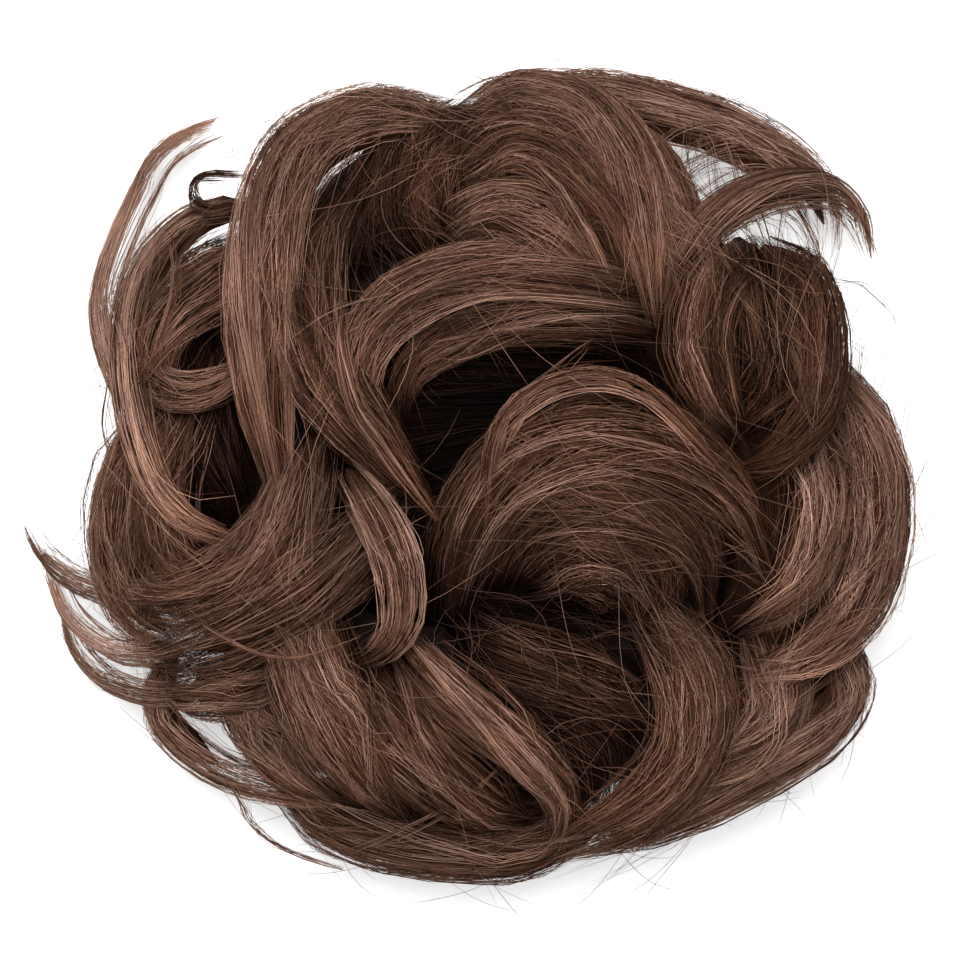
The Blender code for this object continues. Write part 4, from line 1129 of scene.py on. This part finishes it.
MESSY_SPOTS = (
    # centre, reach, hairs, heading in degrees, how far the heading varies
    ((0.26, -0.28), 0.18, 130, -28, 24),
    ((-0.24, 0.55), 0.17, 80, -40, 24),
    ((-0.10, -0.34), 0.14, 30, -60, 25),
    ((0.10, -0.62), 0.20, 40, -35, 25),
    ((0.62, 0.12), 0.16, 40, 80, 25),
)
MESSY_LENGTH = (0.010, 0.034)

core_tree = BVHTree.FromObject(lock_cores, bpy.context.evaluated_depsgraph_get())
flow_places = np.vstack([guide["places"][:GUIDE_STATIONS] for guide in shown_guides])
flow_ways = np.vstack([np.gradient(guide["places"][:GUIDE_STATIONS, :2], axis=0)
                       for guide in shown_guides])
flow_widths = np.concatenate([guide["half_width"][:GUIDE_STATIONS] for guide in shown_guides])


def top_at(x, y):
    """How high the locks stand over a spot, or None beside them."""
    hit = core_tree.ray_cast(Vector((x, y, ABOVE_ALL)), Vector((0, 0, -1)))[0]
    return hit.z if hit else None


def flow_at(x, y):
    """The heading of the uppermost lock over a spot."""
    far = np.hypot(flow_places[:, 0] - x, flow_places[:, 1] - y)
    over = far < flow_widths
    if over.any():
        place = np.argmax(np.where(over, flow_places[:, 2], -1))
    else:
        place = np.argmin(far)
    return np.arctan2(flow_ways[place, 1], flow_ways[place, 0])


def bent_plan(rng, start, heading, length, bend):
    """Places in plan along a gently bent line."""
    steps = np.linspace(0, 1, STRAY_STATIONS)
    sway = rng.normal(0, STRAY_SWAY) * np.sin(steps * pi * rng.uniform(*SWAY_PACE))
    angle = heading + bend * length * (steps - 0.5) + sway
    step = length / (STRAY_STATIONS - 1)
    moves = np.column_stack([np.cos(angle), np.sin(angle)])[:-1] * step
    return np.vstack([start, start + np.cumsum(moves, axis=0)])


def laid_height(plan, deepest=1.0, darkest=0.0):
    """Heights that lie on the locks and bridge hollows, or None past the deepest or darkest allowed."""
    tops = [top_at(*place) for place in plan]
    known = [place for place, top in enumerate(tops) if top is not None]
    if len(known) < len(plan) - 2:
        return None
    ground = np.interp(np.arange(len(plan)), known, [tops[place] for place in known])
    # Darkest here means the strongest painted shade that a hair may lie in
    if painted_light_and_shade(np.column_stack([plan, ground])).min() < darkest:
        return None
    height = np.maximum(ground, np.linspace(ground[0], ground[-1], len(plan)))
    for _ in range(3):
        padded = np.pad(height, 1, mode="edge")
        height = np.maximum(height, (padded[:-2] + 2 * padded[1:-1] + padded[2:]) / 4)
    return height if (height - ground).max() < deepest else None


def laid_strays(rng):
    """Single hairs that lie along the locks, of which a few bridge the deepest hollows."""
    lines = []
    while len(lines) < STRAYS:
        start = rng.uniform(-STRAY_FIELD, STRAY_FIELD, 2) * BUN_RADIUS + CENTRE[:2]
        if top_at(*start) is None:
            continue
        length = np.interp(rng.random() ** SHORT_ONES, (0, 1), STRAY_LENGTH)
        heading = flow_at(*start) + rng.choice((0, pi)) + rng.normal(0, STRAY_TURN)
        plan = bent_plan(rng, start, heading, length, rng.normal(0, STRAY_BEND))
        limits = () if rng.random() < BRIDGING_SHARE else (DEEPEST_BRIDGE, DARKEST)
        height = laid_height(plan, *limits)
        if height is not None:
            lines.append(np.column_stack([plan, height + rng.uniform(*STRAY_LIFT)]))
    return np.array(lines)


def messy_hairs(rng):
    """Hairs that cross one another where the locks meet."""
    lines = []
    for centre, reach, count, heading, varied in MESSY_SPOTS:
        wanted = len(lines) + count
        while len(lines) < wanted:
            start = (np.array(centre) + rng.normal(0, reach / 2, 2)) * BUN_RADIUS + CENTRE[:2]
            way = np.radians(rng.normal(heading, varied))
            plan = bent_plan(rng, start, way, rng.uniform(*MESSY_LENGTH), rng.normal(0, 2 * STRAY_BEND))
            height = laid_height(plan)
            if height is not None:
                lines.append(np.column_stack([plan, height + rng.uniform(*TANGLE_LIFT)]))
    return np.array(lines)


def tangles(rng):
    """Small bundles that leave their lock at a slant and drape over the next."""
    lines = []
    steps = np.linspace(0, 1, STRAY_STATIONS)
    while len(lines) < TANGLES * TANGLE_STRANDS:
        start = rng.uniform(-TANGLE_FIELD, TANGLE_FIELD, 2) * BUN_RADIUS + CENTRE[:2]
        if top_at(*start) is None:
            continue
        length = rng.uniform(*TANGLE_LENGTH)
        heading = flow_at(*start) + rng.choice((0, pi)) + rng.normal(0, TANGLE_TURN)
        plan = bent_plan(rng, start, heading, length, rng.normal(0, TANGLE_BEND))
        height = laid_height(plan, DEEPEST_BRIDGE, DARKEST)
        if height is None:
            continue
        way = unit(np.gradient(plan, axis=0))
        across = np.column_stack([-way[:, 1], way[:, 0]])
        pinch = rng.uniform(*TANGLE_PINCHES)
        for _ in range(TANGLE_STRANDS):
            fan = rng.normal(0, TANGLE_WIDTH) * (TANGLE_WAIST + TANGLE_FAN * np.abs(steps - pinch))
            fan = fan + rng.normal(0, TANGLE_WIDTH) * (steps - pinch)
            forward = rng.integers(0, 2)
            line = np.column_stack([plan + across * fan[:, None],
                                    height + rng.uniform(*TANGLE_LIFT)])
            lines.append(line if forward else line[::-1])
    return np.array(lines)


def outline_flyaways(rng):
    """Short threads that start just inside the outline and turn away from it."""
    lines = []
    while len(lines) < FLYAWAYS:
        bearing = rng.uniform(0, 2 * pi)
        away = np.array([cos(bearing), sin(bearing)])
        reach = OUTLINE_SEARCH * BUN_RADIUS
        while top_at(*(CENTRE[:2] + away * reach)) is None:
            reach -= OUTLINE_STEP
        start = CENTRE[:2] + away * (reach - rng.uniform(0.0, FLYAWAY_INSET))
        top = top_at(*start)
        if top is None:
            continue
        turn = rng.choice((-1, 1))
        heading = bearing + turn * rng.uniform(*FLYAWAY_TURNS)
        length = rng.uniform(*FLYAWAY_LENGTH)
        plan = bent_plan(rng, start, heading, length, turn * rng.normal(FLYAWAY_BEND, FLYAWAY_BEND))
        drop = rng.normal(0, FLYAWAY_DROP) * length * np.linspace(0, 1, STRAY_STATIONS)
        depth = rng.uniform(0, 1) ** 2 * min(top, FLYAWAY_DEPTH)
        lines.append(np.column_stack([plan, np.maximum(top - depth + drop, FLOOR_GAP)]))
    return np.array(lines)


rng = np.random.default_rng(STRAY_SEED)
stray_batches = []
for lines, brightness in ((laid_strays(rng), LAID_TONE), (outline_flyaways(rng), FLYAWAY_TONE),
                          (tangles(rng), TANGLE_TONE), (messy_hairs(rng), MESSY_TONE)):
    up = np.broadcast_to(np.array([0.0, 0.0, 1.0]), lines.shape)
    tone = np.clip(rng.normal(brightness, STRAY_TONES, len(lines)), 0, 1)
    radius = STRAY_RADIUS * rng.uniform(*STRAY_RADII, len(lines))
    stray_batches.append((strand_rings(lines, up, radius), tone))
add_strand_piece("stray_hairs", stray_batches)

# Elastic
# Knitted elastic, rubber threads covered in brown yarn. The plain ring is right as it stands,
# so it only gets its look: matt, with fine ribs across it where the yarn goes round.

RIBS = 150
RIB_RELIEF = 0.8
RIB_DEPTH = 0.0003
ELASTIC_ROUGHNESS = 0.8


def elastic_material():
    material, tree = new_material("knitted_elastic")
    where = add_node(tree, "ShaderNodeTexCoord")
    centred = add_node(tree, "ShaderNodeVectorMath", {"operation": "SUBTRACT"})
    tree.links.new(where.outputs["Object"], centred.inputs[0])
    centred.inputs[1].default_value = tuple(CENTRE)
    parts = add_node(tree, "ShaderNodeSeparateXYZ", links={"Vector": (centred, "Vector")})
    angle = add_node(tree, "ShaderNodeMath", {"operation": "ARCTAN2"})
    tree.links.new(parts.outputs["Y"], angle.inputs[0])
    tree.links.new(parts.outputs["X"], angle.inputs[1])
    scaled = add_node(tree, "ShaderNodeMath", {"operation": "MULTIPLY"})
    tree.links.new(angle.outputs[0], scaled.inputs[0])
    scaled.inputs[1].default_value = RIBS
    ribs = add_node(tree, "ShaderNodeMath", {"operation": "SINE"})
    tree.links.new(scaled.outputs[0], ribs.inputs[0])
    tint = add_node(tree, "ShaderNodeValToRGB", links={"Fac": (ribs, "Value")})
    tint.color_ramp.elements[0].color = linear("#1C110E")
    tint.color_ramp.elements[1].color = linear("#3A2620")
    bump = add_node(tree, "ShaderNodeBump", links={"Height": (ribs, "Value"), "Strength": RIB_RELIEF,
                                                    "Distance": RIB_DEPTH})
    shader = add_node(tree, "ShaderNodeBsdfPrincipled",
                      links={"Base Color": (tint, "Color"), "Normal": (bump, "Normal"),
                             "Roughness": ELASTIC_ROUGHNESS})
    finish_material(tree, shader)
    return material


elastic = bpy.data.objects["elastic_band"]
elastic.material_slots[0].material = elastic_material()

# Floor, light and camera
# A white sweep under soft boxes, with the camera straight above as in the photograph.

FLOOR_SIZE = 4.0
FLOOR_DEPTH = 0.0003
FLOOR_GLOW = 0.5
WORLD_LIGHT = 0.24
WHITE = linear("#FFFFFF")
CAMERA_HEIGHT = 1.9
CAMERA_OFFSET = (-0.00327, -0.00018)
FRAME_WIDTH = 0.1742
FRAME_LEVEL = 0.024

bpy.ops.object.select_all(action="DESELECT")
bpy.ops.mesh.primitive_plane_add(size=FLOOR_SIZE, location=(0, 0, -FLOOR_DEPTH))
floor = bpy.context.object
floor.name = "floor"
floor_look, tree = new_material("white_sweep")
shader = add_node(tree, "ShaderNodeBsdfPrincipled",
                  links={"Base Color": linear("#F6F6F6"), "Roughness": 0.9,
                         "Emission Color": WHITE, "Emission Strength": FLOOR_GLOW})
finish_material(tree, shader)
floor.data.materials.append(floor_look)

world = bpy.data.worlds.new("studio")
world.use_nodes = True
world.node_tree.nodes["Background"].inputs["Color"].default_value = WHITE
world.node_tree.nodes["Background"].inputs["Strength"].default_value = WORLD_LIGHT
bpy.context.scene.world = world

SOFT_BOXES = (
    # name, place, size, watts
    ("key_box", (-0.14, 0.45, 1.35), 0.9, 27.0),
    ("fill_box", (0.60, -0.25, 1.20), 0.8, 3.0),
)
for name, place, size, watts in SOFT_BOXES:
    lamp = bpy.data.lights.new(name, "AREA")
    lamp.shape = "SQUARE"
    lamp.size = size
    lamp.energy = watts
    box = bpy.data.objects.new(name, lamp)
    box.location = place
    box.rotation_euler = (-Vector(place)).to_track_quat("-Z", "Y").to_euler()
    bpy.context.collection.objects.link(box)

camera = bpy.data.objects.new("camera", bpy.data.cameras.new("camera"))
camera.data.sensor_width = 36.0
camera.data.lens = camera.data.sensor_width * (CAMERA_HEIGHT - FRAME_LEVEL) / FRAME_WIDTH
camera.data.clip_start = 0.05
camera.data.clip_end = 20.0
camera.location = (CENTRE[0] + CAMERA_OFFSET[0], CENTRE[1] + CAMERA_OFFSET[1], CAMERA_HEIGHT)
bpy.context.collection.objects.link(camera)
bpy.context.scene.camera = camera
bpy.context.scene.view_settings.view_transform = "Standard"
